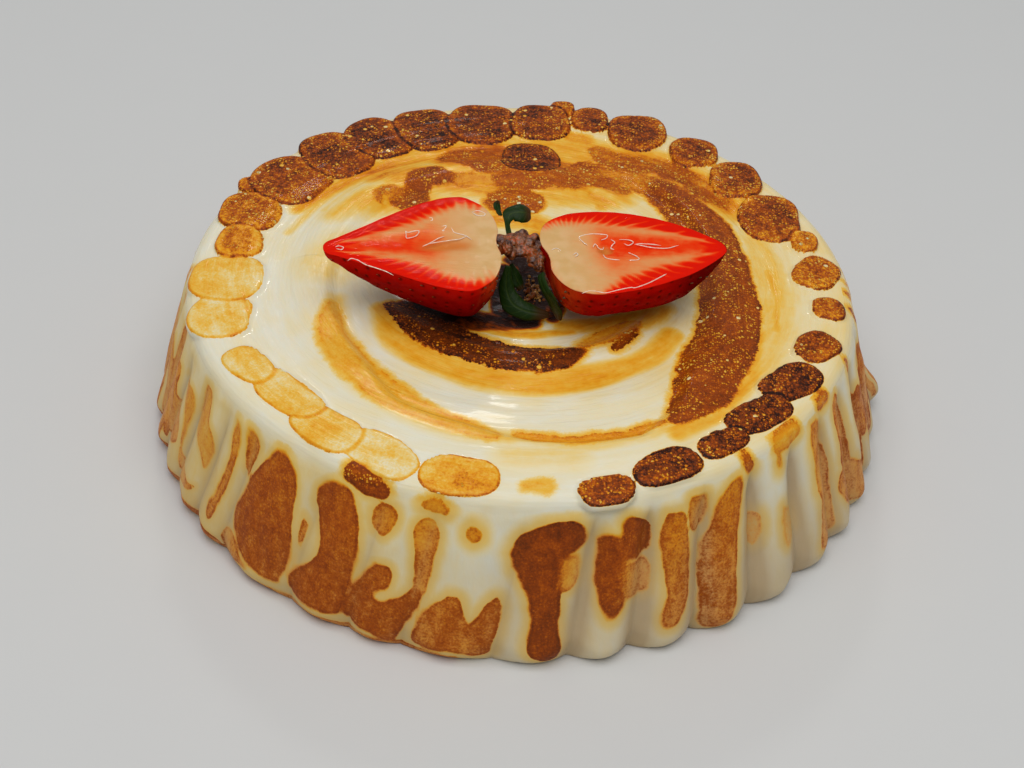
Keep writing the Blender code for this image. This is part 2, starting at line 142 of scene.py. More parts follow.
# Browned patches on the top with a crisp edge: toast, then x, y, half width along each
TOP_PATCHES = (
    (0.55, ((24, 56, 2), (30, 53, 3.5), (36, 49.5, 4.5))),
    (0.75, ((36, 50, 2.5), (41, 45.5, 5.2), (46, 39, 6), (50.5, 32, 7), (54.5, 24, 7),
            (57, 13, 7.5), (58.5, 2, 7.8), (59, -10, 8.6), (58.3, -20, 8.8),
            (56.5, -28.3, 8.9), (54, -34.5, 9.2), (52.3, -41, 8.6), (50, -48, 8),
            (47.3, -54, 6.3), (44.2, -59, 4.4), (41.5, -62.5, 1.8))),
    (0.90, ((-35, -21, 2.6), (-30, -25, 5.4), (-24, -30, 6.6), (-17, -34.5, 6.6),
            (-10, -38, 6.2), (0, -40.3, 5.8), (8, -40, 5.4), (13, -38.8, 4.4),
            (17, -37.3, 2.4))),
    (0.37, ((-51, -22, 1.5), (-50.5, -29, 2.8), (-49.5, -36, 4), (-45.5, -42.5, 4.7),
            (-40.5, -49.5, 4.9), (-35, -56, 4.8), (-29, -61, 4.5), (-20.5, -66, 3.8),
            (-12, -69.5, 3.3), (-5, -73, 1.8))),
    (0.46, ((2.3, -71, 1.2), (10.6, -71.7, 1.8), (16.6, -72.2, 2.2), (24.2, -69.6, 1.9),
            (30.2, -67.8, 1.8), (34.7, -65.2, 1.8), (38.1, -63.9, 1.2))),
    (0.70, ((42.5, 60.5, 3.5), (45.6, 56.7, 5.8), (49, 53.5, 4.2))),
    (0.68, ((52, 47.5, 3.8), (56, 44.5, 4.8), (59, 41.5, 3))),
    (0.67, ((28, 62, 4), (34, 60, 5), (39, 60, 3.5))),
    (0.58, ((21, 68, 2.5), (24, 64.5, 4), (27, 62, 3))),
    (0.66, ((14.5, 55, 4), (18, 56, 5.5), (21, 54.5, 4))),
    (0.64, ((8, 51, 3), (15, 51.5, 4), (23, 50, 3.5), (30, 46, 2))),
    (0.56, ((36, 64, 2), (44, 61, 2.6), (54, 52, 2.6), (61, 43, 2))),
    (0.43, ((13, 75.5, 2), (17.5, 74, 2.5))),
    (0.66, ((-9, 46.5, 2.5), (-2, 47, 3), (6, 47.2, 3.2), (13, 46.8, 2.8))),
    (0.66, ((-5, 36.5, 7.8), (-2.5, 36.5, 7.8))),
    (0.74, ((-24, 46, 1.5), (-29, 46.5, 3.5), (-33, 44, 4), (-33, 38, 3.5), (-34, 34, 4.5),
            (-38, 32, 3))),
    (0.58, ((-41, 36, 3), (-44, 34, 2.5), (-44, 31, 1.5))),
    (0.45, ((-42.6, 45.3, 1.6), (-42.2, 45.1, 1.6))),
    (0.68, ((-24, 58, 3), (-19, 58, 6), (-13, 56, 7), (-8, 53, 5))),
    (0.45, ((-20, 45, 2.5), (-15, 44, 3.5), (-11, 43, 3))),
    (0.40, ((22.3, 36.3, 1.1), (22.9, 36.3, 1.1))),
    (0.78, ((26.5, -35, 0.8), (28.7, -31, 1.3), (31.3, -27, 1.8), (32.5, -23.7, 1))),
    (0.46, ((18, -33, 2.5), (24, -28.5, 3), (31, -23, 3.5))),
    (0.30, ((4.7, -89.3, 1.3), (9.7, -89.3, 1.3))),
)

# Soft toasting on the top, with painted shadow under and between the berries: toast, blur, then x, y,
# half width along each
TOP_SOFT_TOAST_AND_SHADE = (
    (0.40, 9, ((-44, 60, 5), (-22, 60, 9), (10, 62, 12), (40, 58, 10), (62, 40, 8))),
    (0.36, 7, ((-28, 46, 6), (0, 44, 8), (26, 44, 8))),
    (0.25, 7, ((68, 26, 5), (72, 0, 6), (70, -20, 6), (66, -38, 4))),
    (0.37, 3, ((67, -22, 1.5), (65, -32, 2), (62, -42, 3), (55, -54, 3.2), (48, -62, 3),
               (42, -68, 2.5))),
    (0.39, 3, ((-38, -22, 2.5), (-34, -33, 3.5), (-27, -40, 4), (-18, -45, 4), (-8, -49, 4),
               (6, -50, 4), (18, -47, 4), (28, -42, 3), (36, -36, 3), (42, -26, 3))),
    (0.38, 4, ((24, -24, 4), (34, -20, 4.5), (40, -14, 3))),
    (0.26, 4, ((-51, -18, 2), (-50, -33, 4), (-41, -50, 5), (-29, -62, 5), (-12, -71, 4), (0, -73, 3))),
    (0.24, 3, ((0, -73, 2), (16, -73.5, 3.5), (32, -69, 3.5), (42, -64, 3))),
    (0.24, 2, ((-69, 13, 1), (-62, 28, 1.2), (-52, 42, 1))),
    (0.22, 2, ((-60, 25, 1), (-52, 38, 1.5), (-42, 50, 1.5))),
    (0.43, 1.5, ((-15, -24, 1), (-6, -28, 1.6), (4, -29, 1.6), (15, -26, 1))),
    # Next three rows: dark syrup under the front leaf and between the berries, with the shadow that
    # falls there painted in as well
    (0.75, 2, ((-6, -22, 2), (2, -24.5, 2.2))),
    (1.1, 1.5, ((-5, 1, 2.5), (-5.2, -8, 3.2), (-5, -19, 2.6))),
    (1.0, 1.5, ((9, -7, 2), (10, -15, 2.5), (9.5, -21, 1.6))),
    (0.44, 5, ((-8, 27, 4), (4, 25, 4), (5, 16, 4))),
    (0.66, 7, ((-24, 57, 6), (-10, 60, 8), (2, 54, 9), (16, 52, 7), (26, 57, 5))),
    (0.54, 6, ((26, 64, 6), (40, 60, 8), (54, 50, 6), (60, 40, 5))),
    (0.46, 6, ((-46, 44, 4), (-34, 46, 6), (-22, 44, 5))),
    (0.36, 8, ((-56, 22, 2), (-44, 32, 6), (-30, 34, 6))),
    (0.48, 4, ((-68, 26, 1.5), (-58, 38, 2.5), (-46, 50, 3.5), (-30, 60, 3.5), (-12, 66, 3))),
    # Next two rows: dark syrup between the berries and under the left berry, with the shadow that falls
    # there painted in as well
    (1.2, 2.0, ((-3, 6, 2), (2, 3, 3.5), (3, -6, 5), (3, -14, 5), (2, -22, 4))),
    (1.0, 2.0, ((-32, -18.5, 2), (-27, -19.5, 3.5), (-20, -22, 4), (-13, -24, 4),
                (-4, -24, 3.4), (4, -24, 2))),
    (0.42, 3.0, ((12, -24, 2), (24, -22, 2.5), (36, -15, 1.5))),
    (0.38, 2, ((71, 8, 0.8), (72.5, -4, 1.2), (71.5, -20, 1))),
    (0.20, 10, ((-56, -4, 7), (-50, 5, 8))),
    (0.16, 6, ((0, -80, 4), (16, -79, 4))),
)

# Browned patches on the side: toast, then angle, height, half width along each
SIDE_PATCHES = (
    (0.76, ((-114.6, 44.6, 2.0), (-111.8, 43.7, 2.7), (-109.0, 42.6, 2.2))),
    (0.44, ((-101.4, 36, 2.6), (-101.4, 28, 2.2), (-101.6, 20, 2))),
    (0.48, ((-102.0, 42.0, 1.5), (-100.6, 42.4, 2.1), (-99.2, 41.8, 1.5))),
    (0.84, ((-86, 34.6, 2), (-83, 37, 3), (-80.2, 38, 2.4))),
    (0.74, ((-71, 36.4, 1.8), (-70.4, 33, 2))),
    (0.62, ((-50.3, 44.8, 1.5), (-50.0, 42.6, 2.1))),
    (0.46, ((-43.6, 43.4, 2.1), (-41.2, 43.6, 2.4), (-38.8, 44.6, 1.6))),
    (0.45, ((-43.8, 43, 1.2), (-43.8, 38.5, 1.1))),
    (0.54, ((-31.0, 44.4, 1.8), (-28.8, 44.6, 1.5))),
    (0.52, ((-27, 16, 4), (-23, 11, 6.5), (-20, 8, 5.5))),
    (0.48, ((-163, 38, 3), (-163.4, 24, 5), (-164, 8, 4))),
    (0.54, ((-171, 40, 2.6), (-171.4, 26, 4), (-172, 10, 3.4))),
    (0.50, ((-138, 1.2, 0.8), (-127, 1.0, 1.3), (-117, 1.0, 1.3), (-107, 1.0, 1.3), (-96, 1.2, 1))),
    (0.60, ((-176, 2.4, 2), (-160, 2.4, 2), (-148, 2.6, 2), (-138, 3, 1.6))),
)
# Larger patches as closed outlines: toast, then angle and height all round
SIDE_OUTLINES = (
    (0.65, ((-128.0, 41.6), (-125.6, 41.4), (-123.7, 38), (-123.1, 34), (-122.7, 28), (-122.5, 21),
            (-122.6, 13), (-123.4, 6), (-126, 5), (-129, 5.6), (-131.8, 7.6), (-133.8, 12.5),
            (-134.5, 17.5), (-133, 25), (-130.8, 34))),
    (0.52, ((-121.3, 28), (-120.3, 26.5), (-120.2, 23.5), (-120.8, 19.5), (-121.4, 21.5),
            (-121.6, 25.5))),
    (0.65, ((-117.0, 40.6), (-115, 40.6), (-113.2, 38.6), (-112.1, 35), (-111.6, 30), (-111.4, 23.5),
            (-111.9, 16), (-112.6, 8.6), (-113.4, 5.6), (-116.4, 5.2), (-120.2, 4.6), (-122, 6.1),
            (-122.1, 10), (-120.1, 13.6), (-117.9, 19), (-117.7, 24.5), (-118.8, 29.5),
            (-119.8, 33), (-119.3, 37.6))),
    (0.52, ((-110.2, 37), (-108.8, 39.4), (-107, 39.4), (-106, 37.4), (-106.4, 34.2), (-108.1, 31.6),
            (-109.6, 33))),
    (0.65, ((-108.5, 23), (-106.7, 23.4), (-105.8, 21.6), (-106.1, 18), (-107.2, 17), (-107.9, 15),
            (-106.5, 14.2), (-104.5, 16.4), (-102.9, 19.4), (-102.5, 22.6), (-102.6, 28.8),
            (-103.2, 33.5), (-103, 36.6), (-101.7, 38), (-100.2, 37.2), (-99.7, 34.4), (-99.8, 31),
            (-100.3, 27.8), (-100.5, 23), (-101.1, 18.8), (-101.8, 14), (-102.9, 8.8),
            (-104.8, 2), (-108.2, 4.6), (-112, 5.2), (-112.4, 10), (-111.3, 16.4))),
    (-0.25, ((-101.6, 35.3), (-100.9, 33.8), (-100.9, 31.4), (-101.6, 30.4), (-102.1, 32),
             (-102.1, 34.3))),
    (0.48, ((-94.6, 38.6), (-93.6, 37.2), (-93.7, 35.4), (-94.5, 34.5), (-95.4, 35.4), (-95.5, 37.4))),
    (0.60, ((-97.5, 19.6), (-96, 19.3), (-95.1, 16), (-94.3, 12.6), (-92.8, 16), (-90.6, 20),
            (-90.1, 15.4), (-90.5, 7.8), (-91.8, 2.4), (-96.6, 4.2), (-102.2, 3.4), (-101.6, 10.4),
            (-99.9, 16))),
    (0.54, ((-134.8, 41.4), (-133.2, 41.6), (-131.6, 39.6), (-131.5, 36), (-132.8, 31.8),
            (-133.3, 28.2), (-134.3, 30.6), (-134.7, 36))),
    (0.53, ((-137.7, 40.6), (-136.4, 39.6), (-135.8, 33.8), (-136.3, 26), (-137.4, 17), (-139.2, 8),
            (-140.4, 11), (-138.6, 21), (-137.7, 29.6), (-138.2, 36))),
    (0.44, ((-148.8, 40.4), (-146.2, 39.8), (-144.2, 33.5), (-142.8, 30), (-142.7, 23.5),
            (-143.7, 19), (-145.4, 22), (-148.4, 25.6), (-149.2, 31.6))),
    (0.46, ((-157, 33), (-152.2, 34), (-151, 28.5), (-151.6, 19), (-151.4, 13.6), (-147.2, 11.6),
            (-144.4, 12.4), (-146.4, 9), (-151.6, 8.4), (-152.8, 16), (-153, 24.6), (-154.4, 30.6))),
    (0.48, ((-164, 33), (-159.6, 32.4), (-158.6, 24), (-154.4, 21.4), (-153.6, 16.2), (-155.8, 11.6),
            (-161, 10), (-165, 14), (-164, 24))),
    (0.50, ((-136.6, 7.6), (-135.6, 10.6), (-133.4, 10.4), (-132, 7), (-129.4, 4.4), (-132, 2.6),
            (-136, 1.4))),
    (0.76, ((-89.2, 32), (-87.9, 36.4), (-85.2, 39.4), (-82.4, 41), (-79.8, 41.2), (-78.2, 38.6),
            (-77.9, 34.6), (-79, 32.4), (-80.9, 30.6), (-81.5, 24.3), (-82, 16.3), (-81.8, 9.5),
            (-81.6, 4.4), (-83, 1.4), (-85, 3), (-86.2, 6), (-86, 10.4), (-85.6, 15.6),
            (-86.1, 21.3), (-87.3, 25.6), (-88.7, 28.6))),
    (0.46, ((-82.0, 31.6), (-79, 31.6), (-78.7, 26.6), (-79.7, 22), (-82.2, 22.6))),
    (0.70, ((-76.3, 34.4), (-74.7, 36.2), (-73.1, 36), (-72.6, 38.2), (-71.1, 39.6), (-68.9, 37.3),
            (-68, 33.3), (-68.6, 29), (-70.6, 27.2), (-72, 27.6), (-72.1, 20.5), (-72.7, 15.3),
            (-73.9, 12.8), (-75.1, 13.8), (-76, 17.6), (-76.6, 22.4), (-76.7, 28.6))),
    (0.50, ((-72.8, 28.6), (-68.6, 26.8), (-68.1, 21.6), (-69.3, 17.2), (-73.0, 18.6))),
    (0.56, ((-65.4, 38.6), (-62.8, 37.8), (-62.3, 31.3), (-62.2, 23.4), (-62.9, 15), (-64, 9.6),
            (-65.4, 7.6), (-66.9, 8.6), (-67, 13.2), (-66.6, 18.6), (-66.8, 24), (-66.8, 31))),
    (0.57, ((-56.8, 38), (-54.4, 40.6), (-52, 42), (-52.3, 36), (-53.5, 28.3), (-54.3, 19),
            (-54.9, 10.2), (-55.8, 4), (-57, 1.6), (-59, 1.6), (-60.5, 4), (-60.3, 11),
            (-60.2, 17.5), (-59.7, 25), (-58.4, 32))),
    (0.50, ((-61.6, 41.4), (-59, 41), (-58.1, 38.4), (-58.5, 33.7), (-59.6, 30.4), (-61.4, 31.4),
            (-62, 36.8))),
    (0.42, ((-50, 28.6), (-48.8, 27.6), (-48.4, 24), (-49.5, 20.6), (-50.6, 19.8), (-51.3, 25.6))),
    (0.40, ((-44.2, 26.6), (-41.4, 22.4), (-41.2, 17), (-42.9, 14.6), (-44.4, 16), (-44.6, 21.2))),
    (0.50, ((-34.8, 42), (-32.2, 40.7), (-31, 27.7), (-30.6, 15), (-31, 7), (-33.4, 3.4),
            (-36.4, 5.6), (-35.3, 12.5), (-35.5, 24), (-35.8, 34))),
    (0.53, ((-25.3, 42.4), (-22.6, 33), (-22.4, 24), (-23.2, 15), (-26.4, 17.6), (-27.4, 26),
            (-27.4, 34.4), (-27, 40))),
)
SIDE_MM_PER_DEGREE = 1.78
# Unevenness of the coat in metres: swell of the top, drags and lumps of the side, and its trim
TOP_SWELL = 0.00055
SIDE_DRAG = 0.00042
SIDE_LUMP = 0.00045
SIDE_TRIM = 0.00038
# Streaks made by rule on the rest of the side: from, to in degrees, and how many
STREAK_ZONES = ((-19, 2, 14), (2, 150, 62), (150, 201, 24))


def smoothstep(low, high, value):
    """0 at low, 1 at high, with a smooth turn between; low may be the greater."""
    t = np.clip((value - low) / (high - low), 0.0, 1.0)
    return t * t * (3.0 - 2.0 * t)


def by_angle(table, angle):
    """Read a table of value by angle for an array of angles."""
    angles = sorted(table)
    return np.interp(angle, angles, [table[a] for a in angles])


def wrap(angle):
    """Degrees brought into -180 to 180."""
    return (angle + 180.0) % 360.0 - 180.0


def smooth_path(points, steps):
    """Points on a smooth curve through the given ones, as an array."""
    given = np.array(points, float)
    padded = np.vstack([2 * given[0] - given[1], given, 2 * given[-1] - given[-2]])
    path = []
    for a, b, c, d in zip(padded, padded[1:], padded[2:], padded[3:]):
        for step in range(steps):
            t = step / steps
            path.append(0.5 * (2 * b + (c - a) * t + (2 * a - 5 * b + 4 * c - d) * t ** 2
                               + (3 * b - a - 3 * c + d) * t ** 3))
    path.append(given[-1])
    return np.array(path)


def lumps(points, size, amount, seed=0.0):
    """Smooth noise at each point, of the given lump size, from -amount to amount."""
    shift = Vector((seed, 0.37 * seed, -0.61 * seed))
    return amount * np.array([noise.noise(Vector(p) / size + shift) for p in points])


def new_piece(name, mesh, nodes, material=None):
    """Link a finished mesh as a piece on the cake's one body, in place of its CAD nodes."""
    piece = bpy.data.objects.new(name, mesh)
    bpy.context.scene.collection.objects.link(piece)
    if material is not None:
        mesh.materials.clear()
        mesh.materials.append(material)
    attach(piece, "root")
    if nodes:
        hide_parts(*nodes)
    return piece


def mesh_from(name, points, faces, attributes=None):
    """A smooth mesh with faces turned outwards and float attributes on its points."""
    mesh = bpy.data.meshes.new(name)
    mesh.from_pydata([tuple(p) for p in points], [], faces)
    bm = bmesh.new()
    bm.from_mesh(mesh)
    bmesh.ops.recalc_face_normals(bm, faces=bm.faces[:])
    bm.to_mesh(mesh)
    bm.free()
    for key, values in (attributes or {}).items():
        layer = mesh.attributes.new(key, "FLOAT", "POINT")
        layer.data.foreach_set("value", np.asarray(values, np.float32))
    mesh.shade_smooth()
    return mesh


# Shader helpers

class Shader:
    """A material's node tree, with short ways to add and link its nodes."""

    def __init__(self, name):
        self.material = bpy.data.materials.new(name)
        self.material.use_nodes = True
        self.tree = self.material.node_tree
        self.surface = self.tree.nodes["Principled BSDF"]

    def node(self, kind, settings=None, **inputs):
        """Add a node, set its settings, and feed its inputs with values or sockets."""
        made = self.tree.nodes.new(kind)
        for key, value in (settings or {}).items():
            setattr(made, key, value)
        for key, value in inputs.items():
            self.feed(made.inputs[key.replace("_", " ")], value)
        return made

    def feed(self, socket, value):
        """Link a socket into an input, or set the input to a plain value."""
        if isinstance(value, bpy.types.NodeSocket):
            self.tree.links.new(value, socket)
        else:
            socket.default_value = value

    def attribute(self, name):
        """A float attribute of the mesh."""
        return self.node("ShaderNodeAttribute", {"attribute_name": name}).outputs["Fac"]

    def place(self, stretch=(1.0, 1.0, 1.0)):
        """Object coordinates, stretched along each axis."""
        place = self.node("ShaderNodeTexCoord").outputs["Object"]
        return self.node("ShaderNodeMapping", Vector=place, Scale=stretch).outputs["Vector"]

    def math(self, operation, first, second=0.0):
        """One sum on two values."""
        made = self.node("ShaderNodeMath", {"operation": operation})
        self.feed(made.inputs[0], first)
        self.feed(made.inputs[1], second)
        return made.outputs[0]

    def vector(self, operation, first, second=(0.0, 0.0, 0.0)):
        """One sum on two vectors."""
        made = self.node("ShaderNodeVectorMath", {"operation": operation})
        self.feed(made.inputs[0], first)
        self.feed(made.inputs[1], second)
        return made.outputs["Value" if operation == "LENGTH" else "Vector"]

    def centred(self, value, amount):
        """A 0 to 1 value brought to either side of zero, at the given full swing."""
        return self.math("MULTIPLY", self.math("SUBTRACT", value, 0.5), amount)

    def sweep(self, across, along):
        """Coordinates that follow circles round the cake's middle, as a knife does."""
        flat = self.vector("MULTIPLY", self.place(), (1.0, 1.0, 0.0))
        reach = self.math("DIVIDE", self.vector("LENGTH", flat), across)
        heading = self.vector("MULTIPLY", self.vector("NORMALIZE", flat), (along, along, 0.0))
        rise = self.node("ShaderNodeCombineXYZ", X=0.0, Y=0.0, Z=reach).outputs[0]
        return self.vector("ADD", heading, rise)

    def fade(self, value, low, high, start=0.0, end=1.0):
        """Start below low, end above high, smooth between."""
        made = self.node("ShaderNodeMapRange", {"interpolation_type": "SMOOTHSTEP"})
        for number, item in enumerate((value, low, high, start, end)):
            self.feed(made.inputs[number], item)
        return made.outputs[0]

    def grain(self, size, where, detail=2.0, roughness=0.5):
        """Noise of the given lump size in metres, about 0 to 1."""
        return self.node(
            "ShaderNodeTexNoise", Vector=where, Scale=1.0 / size, Detail=detail,
            Roughness=roughness).outputs["Fac"]

    def flecks(self, size, sparse, fullest):
        """Small flecks of uneven size at a given spacing, in the share above sparse of places."""
        cells = self.node(
            "ShaderNodeTexVoronoi", Vector=self.place(), Scale=1.0 / size, Randomness=1.0)
        draw = self.node("ShaderNodeSeparateColor", Color=cells.outputs["Color"]).outputs[0]
        reach = self.fade(draw, sparse, 1.0, 0.0, fullest)
        return self.fade(self.math("SUBTRACT", reach, cells.outputs["Distance"]), 0.0, 0.10)

    def mix(self, share, first, second):
        """Mix two colours."""
        made = self.node("ShaderNodeMix", {"data_type": "RGBA"})
        self.feed(made.inputs["Factor"], share)
        self.feed(made.inputs[6], first)
        self.feed(made.inputs[7], second)
        return made.outputs[2]

    def ramp(self, value, stops):
        """A colour read off stops of (place, colour)."""
        made = self.node("ShaderNodeValToRGB", Fac=value)
        elements = made.color_ramp.elements
        for number, (place, colour) in enumerate(stops):
            element = elements[number] if number < 2 else elements.new(place)
            element.position = place
            element.color = (*colour, 1.0)
        return made.outputs["Color"]

    def bump(self, height, distance, strength):
        """A bump from a height field."""
        made = self.node("ShaderNodeBump", Strength=strength, Distance=distance, Height=height)
        return made.outputs["Normal"]

    def finish(self, **inputs):
        """Feed the Principled shader and give the material back."""
        for key, value in inputs.items():
            self.feed(self.surface.inputs[key.replace("_", " ")], value)
        return self.material


def rgba(colour):
    """A colour with full alpha."""
    return (*colour, 1.0)


# The sizes and colours a user would change

def colour(name, description, default):
    """A colour property in linear RGB."""
    return FloatVectorProperty(
        name=name, description=description, default=default, subtype="COLOR", min=0.0, max=1.0)


class MeringueSettings(bpy.types.PropertyGroup):
    """Finish of the meringue coat."""
    cream: colour("Cream", "Untoasted meringue", (0.83, 0.79, 0.63))
    yellow: colour("Yellow", "First colour of toasting", (0.87, 0.62, 0.20))
    golden: colour("Golden", "Lightly toasted meringue", (0.84, 0.37, 0.018))
    brown: colour("Brown", "Well toasted meringue", (0.29, 0.050, 0.003))
    burnt: colour("Burnt", "Darkest toast", (0.026, 0.006, 0.003))
    # Colour of the painted shade in the creases and low on the side
    shade: colour("Shade", "Meringue down in the creases", (0.50, 0.36, 0.20))
    columns: IntProperty(
        name="Columns", description="Steps of the coat round the cake", default=720, min=90)
    side_rings: IntProperty(
        name="Side rings", description="Steps of the coat down its side", default=50, min=10)
    streak_depth: FloatProperty(
        name="Streak depth", description="Depth of the knife streaks on the top",
        default=0.00018, unit="LENGTH")


class StrawberrySettings(bpy.types.PropertyGroup):
    """Finish of the strawberry halves."""
    skin: colour("Skin", "Red of the skin", (0.34, 0.002, 0.001))
    rim: colour("Rim", "Red of the cut rim", (0.76, 0.010, 0.003))
    flesh: colour("Flesh", "Pale flesh of the cut face", (0.75, 0.37, 0.14))
    seed_colour: colour("Seed", "Colour of the seeds", (0.20, 0.075, 0.015))
    seed_spacing: FloatProperty(
        name="Seed spacing", description="Distance between seeds", default=0.0038, unit="LENGTH")
    dimple_depth: FloatProperty(
        name="Dimple depth", description="Depth of the hollow round each seed",
        default=0.00045, unit="LENGTH")


class LeafSettings(bpy.types.PropertyGroup):
    """Finish of the leaves and stem ends."""
    green: colour("Green", "Upper face of the leaves", (0.010, 0.028, 0.003))
    pale: colour("Pale green", "Veins and edges", (0.050, 0.080, 0.010))
    husk: colour("Husk", "Dried stem end", (0.26, 0.085, 0.02))
    thickness: FloatProperty(
        name="Thickness", description="Thickness of a leaf", default=0.0005, unit="LENGTH")


class StageSettings(bpy.types.PropertyGroup):
    """Floor, lights and camera."""
    floor: colour("Floor", "Pale floor", (0.66, 0.66, 0.645))
    light_power: FloatProperty(
        name="Light power", description="Power of the overhead light", default=12.0, unit="POWER")
    lens: FloatProperty(
        name="Lens", description="Focal length of the camera", default=59.77, unit="CAMERA")


# The meringue coat

def rib_creases():
    """Angles of all creases at the foot, in order, ending one turn after the first."""
    rng = random.Random(11)
    start = SHOWN_CREASES[-1]
    end = SHOWN_CREASES[0] + 360.0
    widths = [rng.uniform(0.8, 1.2) for _ in range(BACK_RIBS)]
    scale = (end - start) / sum(widths)
    creases = list(SHOWN_CREASES)
    for width in widths:
        creases.append(creases[-1] + width * scale)
    return np.array(creases)


def ridge(table, angle, radius, height):
    """Height of one knife ridge above the plain top."""
    first, last = max(table), min(table)
    turned = angle - 360.0 * np.ceil((angle - first) / 360.0)
    ends = smoothstep(0.0, RIDGE_END, first - turned) * smoothstep(0.0, RIDGE_END, turned - last)
    across = radius - by_angle(table, turned)
    rise = smoothstep(0.0, RIDGE_RISE, across)
    fall = smoothstep(RIDGE_CREST, RIDGE_FALL, across)
    return height * ends * (rise - fall)


def top_height(angle, radius):
    """Height of the top with both knife ridges, fading out before the rim."""
    outer = ridge(OUTER_RIDGE, angle, radius, OUTER_RIDGE_HEIGHT)
    inner = ridge(INNER_RIDGE, angle, radius, INNER_RIDGE_HEIGHT)
    return TOP_Z + np.maximum(outer, inner) * (1.0 - smoothstep(0.082, 0.090, radius))


def side_radius(height):
    """Radius of the flared side, before its ribs."""
    share = np.clip(1.0 - height / CAKE_HEIGHT, 0.0, 1.0)
    return RIM_RADIUS + (FOOT_RADIUS - RIM_RADIUS) * share ** SIDE_CURVE


def rib_part(foot_angle):
    """How far across its rib each angle lies, from 0 at one crease to 1 at the next."""
    creases = rib_creases()
    turned = foot_angle - 360.0 * np.floor((foot_angle - creases[0]) / 360.0)
    index = np.clip(np.searchsorted(creases, turned, side="right") - 1, 0, len(creases) - 2)
    return (turned - creases[index]) / (creases[index + 1] - creases[index])


def crease_hollow(foot_angle):
    """Depth of the side's creases at each angle of the foot, in metres."""
    hollow = 1.0 - np.sin(np.pi * rib_part(foot_angle)) ** RIB_ROUNDNESS
    return hollow * by_angle(CREASE_DEPTH, wrap(foot_angle))


def ribbed_radius(radius, foot_angle, height):
    """Pull the side's radius in at the creases, out at the foot blob, and under at the foot."""
    wrapped = wrap(foot_angle)
    radius = radius + by_angle(FOOT_SPREAD, wrapped) * (1.0 - height / CAKE_HEIGHT)
    radius = radius - crease_hollow(foot_angle) * smoothstep(*RIB_FADE, height)
    tuck_height = FOOT_TUCK_HEIGHT * (2.0 - np.sin(np.pi * rib_part(foot_angle)))
    radius = radius - FOOT_TUCK * np.clip(1.0 - height / tuck_height, 0.0, 1.0) ** 2
    blob_angle, blob_height, blob_reach, blob_spread = FOOT_BLOB
    away = np.radians(wrap(wrapped - blob_angle)) * radius
    rise = height - blob_height
    return radius + blob_reach * np.exp(-(away ** 2 + rise ** 2) / blob_spread ** 2)


def pip_distance(x, y, number):
    """Millimetres inside the uneven outline of one pip, negative outside."""
    px, py, half_length, half_width, angle, _, _ = PIPS[number]
    turn = math.radians(angle)
    u = (x - px) * math.cos(turn) + (y - py) * math.sin(turn)
    v = (y - py) * math.cos(turn) - (x - px) * math.sin(turn)
    away = np.hypot(u, v) + 1e-6
    power = PIP_SQUARENESS
    share_along, share_across = np.abs(u / away / half_length), np.abs(v / away / half_width)
    reach = (share_along ** power + share_across ** power) ** (-1 / power)
    bearing = np.arctan2(v, u)
    wobble = 0.022 * np.sin(3 * bearing + 1.7 * number) + 0.014 * np.sin(5 * bearing + 2.9 * number)
    return reach * (0.985 + wobble) - away


def pip_top(x, y, number):
    """Height of one pip's flat top, in millimetres, leaning outwards by its tilt."""
    px, py, _, half_width, _, tilt, _ = PIPS[number]
    top = INNER_PIP_TOP if number == len(PIPS) - 1 else PIP_TOP
    outward = ((x - px) * px + (y - py) * py) / math.hypot(px, py)
    return top - math.sin(math.radians(tilt)) * (half_width + outward)


def pips_on_top(x, y, height):
    """Raise the height field of the top to the pips that lie on it. All in millimetres."""
    raised = height.copy()
    for number in range(len(PIPS)):
        inside = pip_distance(x, y, number)
        dome = 0.25 * smoothstep(0.0, 6.0, inside)
        level = pip_top(x, y, number) - 0.35 + dome
        lifted = height + (level - height) * smoothstep(-0.25, 0.95, inside)
        raised = np.maximum(raised, lifted)
    return raised


def pips_past_rim(x0, y0, z0, along_x, along_y, along_z):
    """How far along each ray, in millimetres, the outermost pip reaches past its start."""
    reach = np.zeros(x0.shape)
    samples = np.linspace(-0.8, 7.2, 33)
    step = samples[1] - samples[0]
    previous = np.full(x0.shape, -1.0)
    for distance in samples[::-1]:
        x = x0 + along_x * distance
        y = y0 + along_y * distance
        z = z0 + along_z * distance
        field = np.full(x0.shape, -1.0)
        for number in range(len(PIPS) - 1):
            inside = np.minimum(pip_distance(x, y, number), 2.0)
            top = pip_top(x, y, number)
            above = np.minimum(top - z, 2.0)
            corner = 1.1
            rounded = corner - np.hypot(np.maximum(corner - inside, 0), np.maximum(corner - above, 0))
            below = z - (top - PIP_THICKNESS)
            field = np.maximum(field, np.minimum(rounded, below))
        crossing = (field > 0.0) & (previous <= 0.0) & (reach == 0.0)
        share = np.where(crossing, field / np.maximum(field - previous, 1e-6), 0.0)
        reach = np.where(crossing, np.maximum(distance + step * share, 0.0), reach)
        previous = field
    return reach


def stroke_distance(u, v, points):
    """Millimetres inside a stroke of changing width, negative outside."""
    path = smooth_path(points, 4)
    best = np.full(u.shape, -1000.0)
    for (u0, v0, w0), (u1, v1, w1) in zip(path, path[1:]):
        du, dv = u1 - u0, v1 - v0
        share = np.clip(((u - u0) * du + (v - v0) * dv) / max(du * du + dv * dv, 1e-9), 0.0, 1.0)
        inside = w0 + (w1 - w0) * share - np.hypot(u - u0 - share * du, v - v0 - share * dv)
        best = np.maximum(best, inside)
    return best


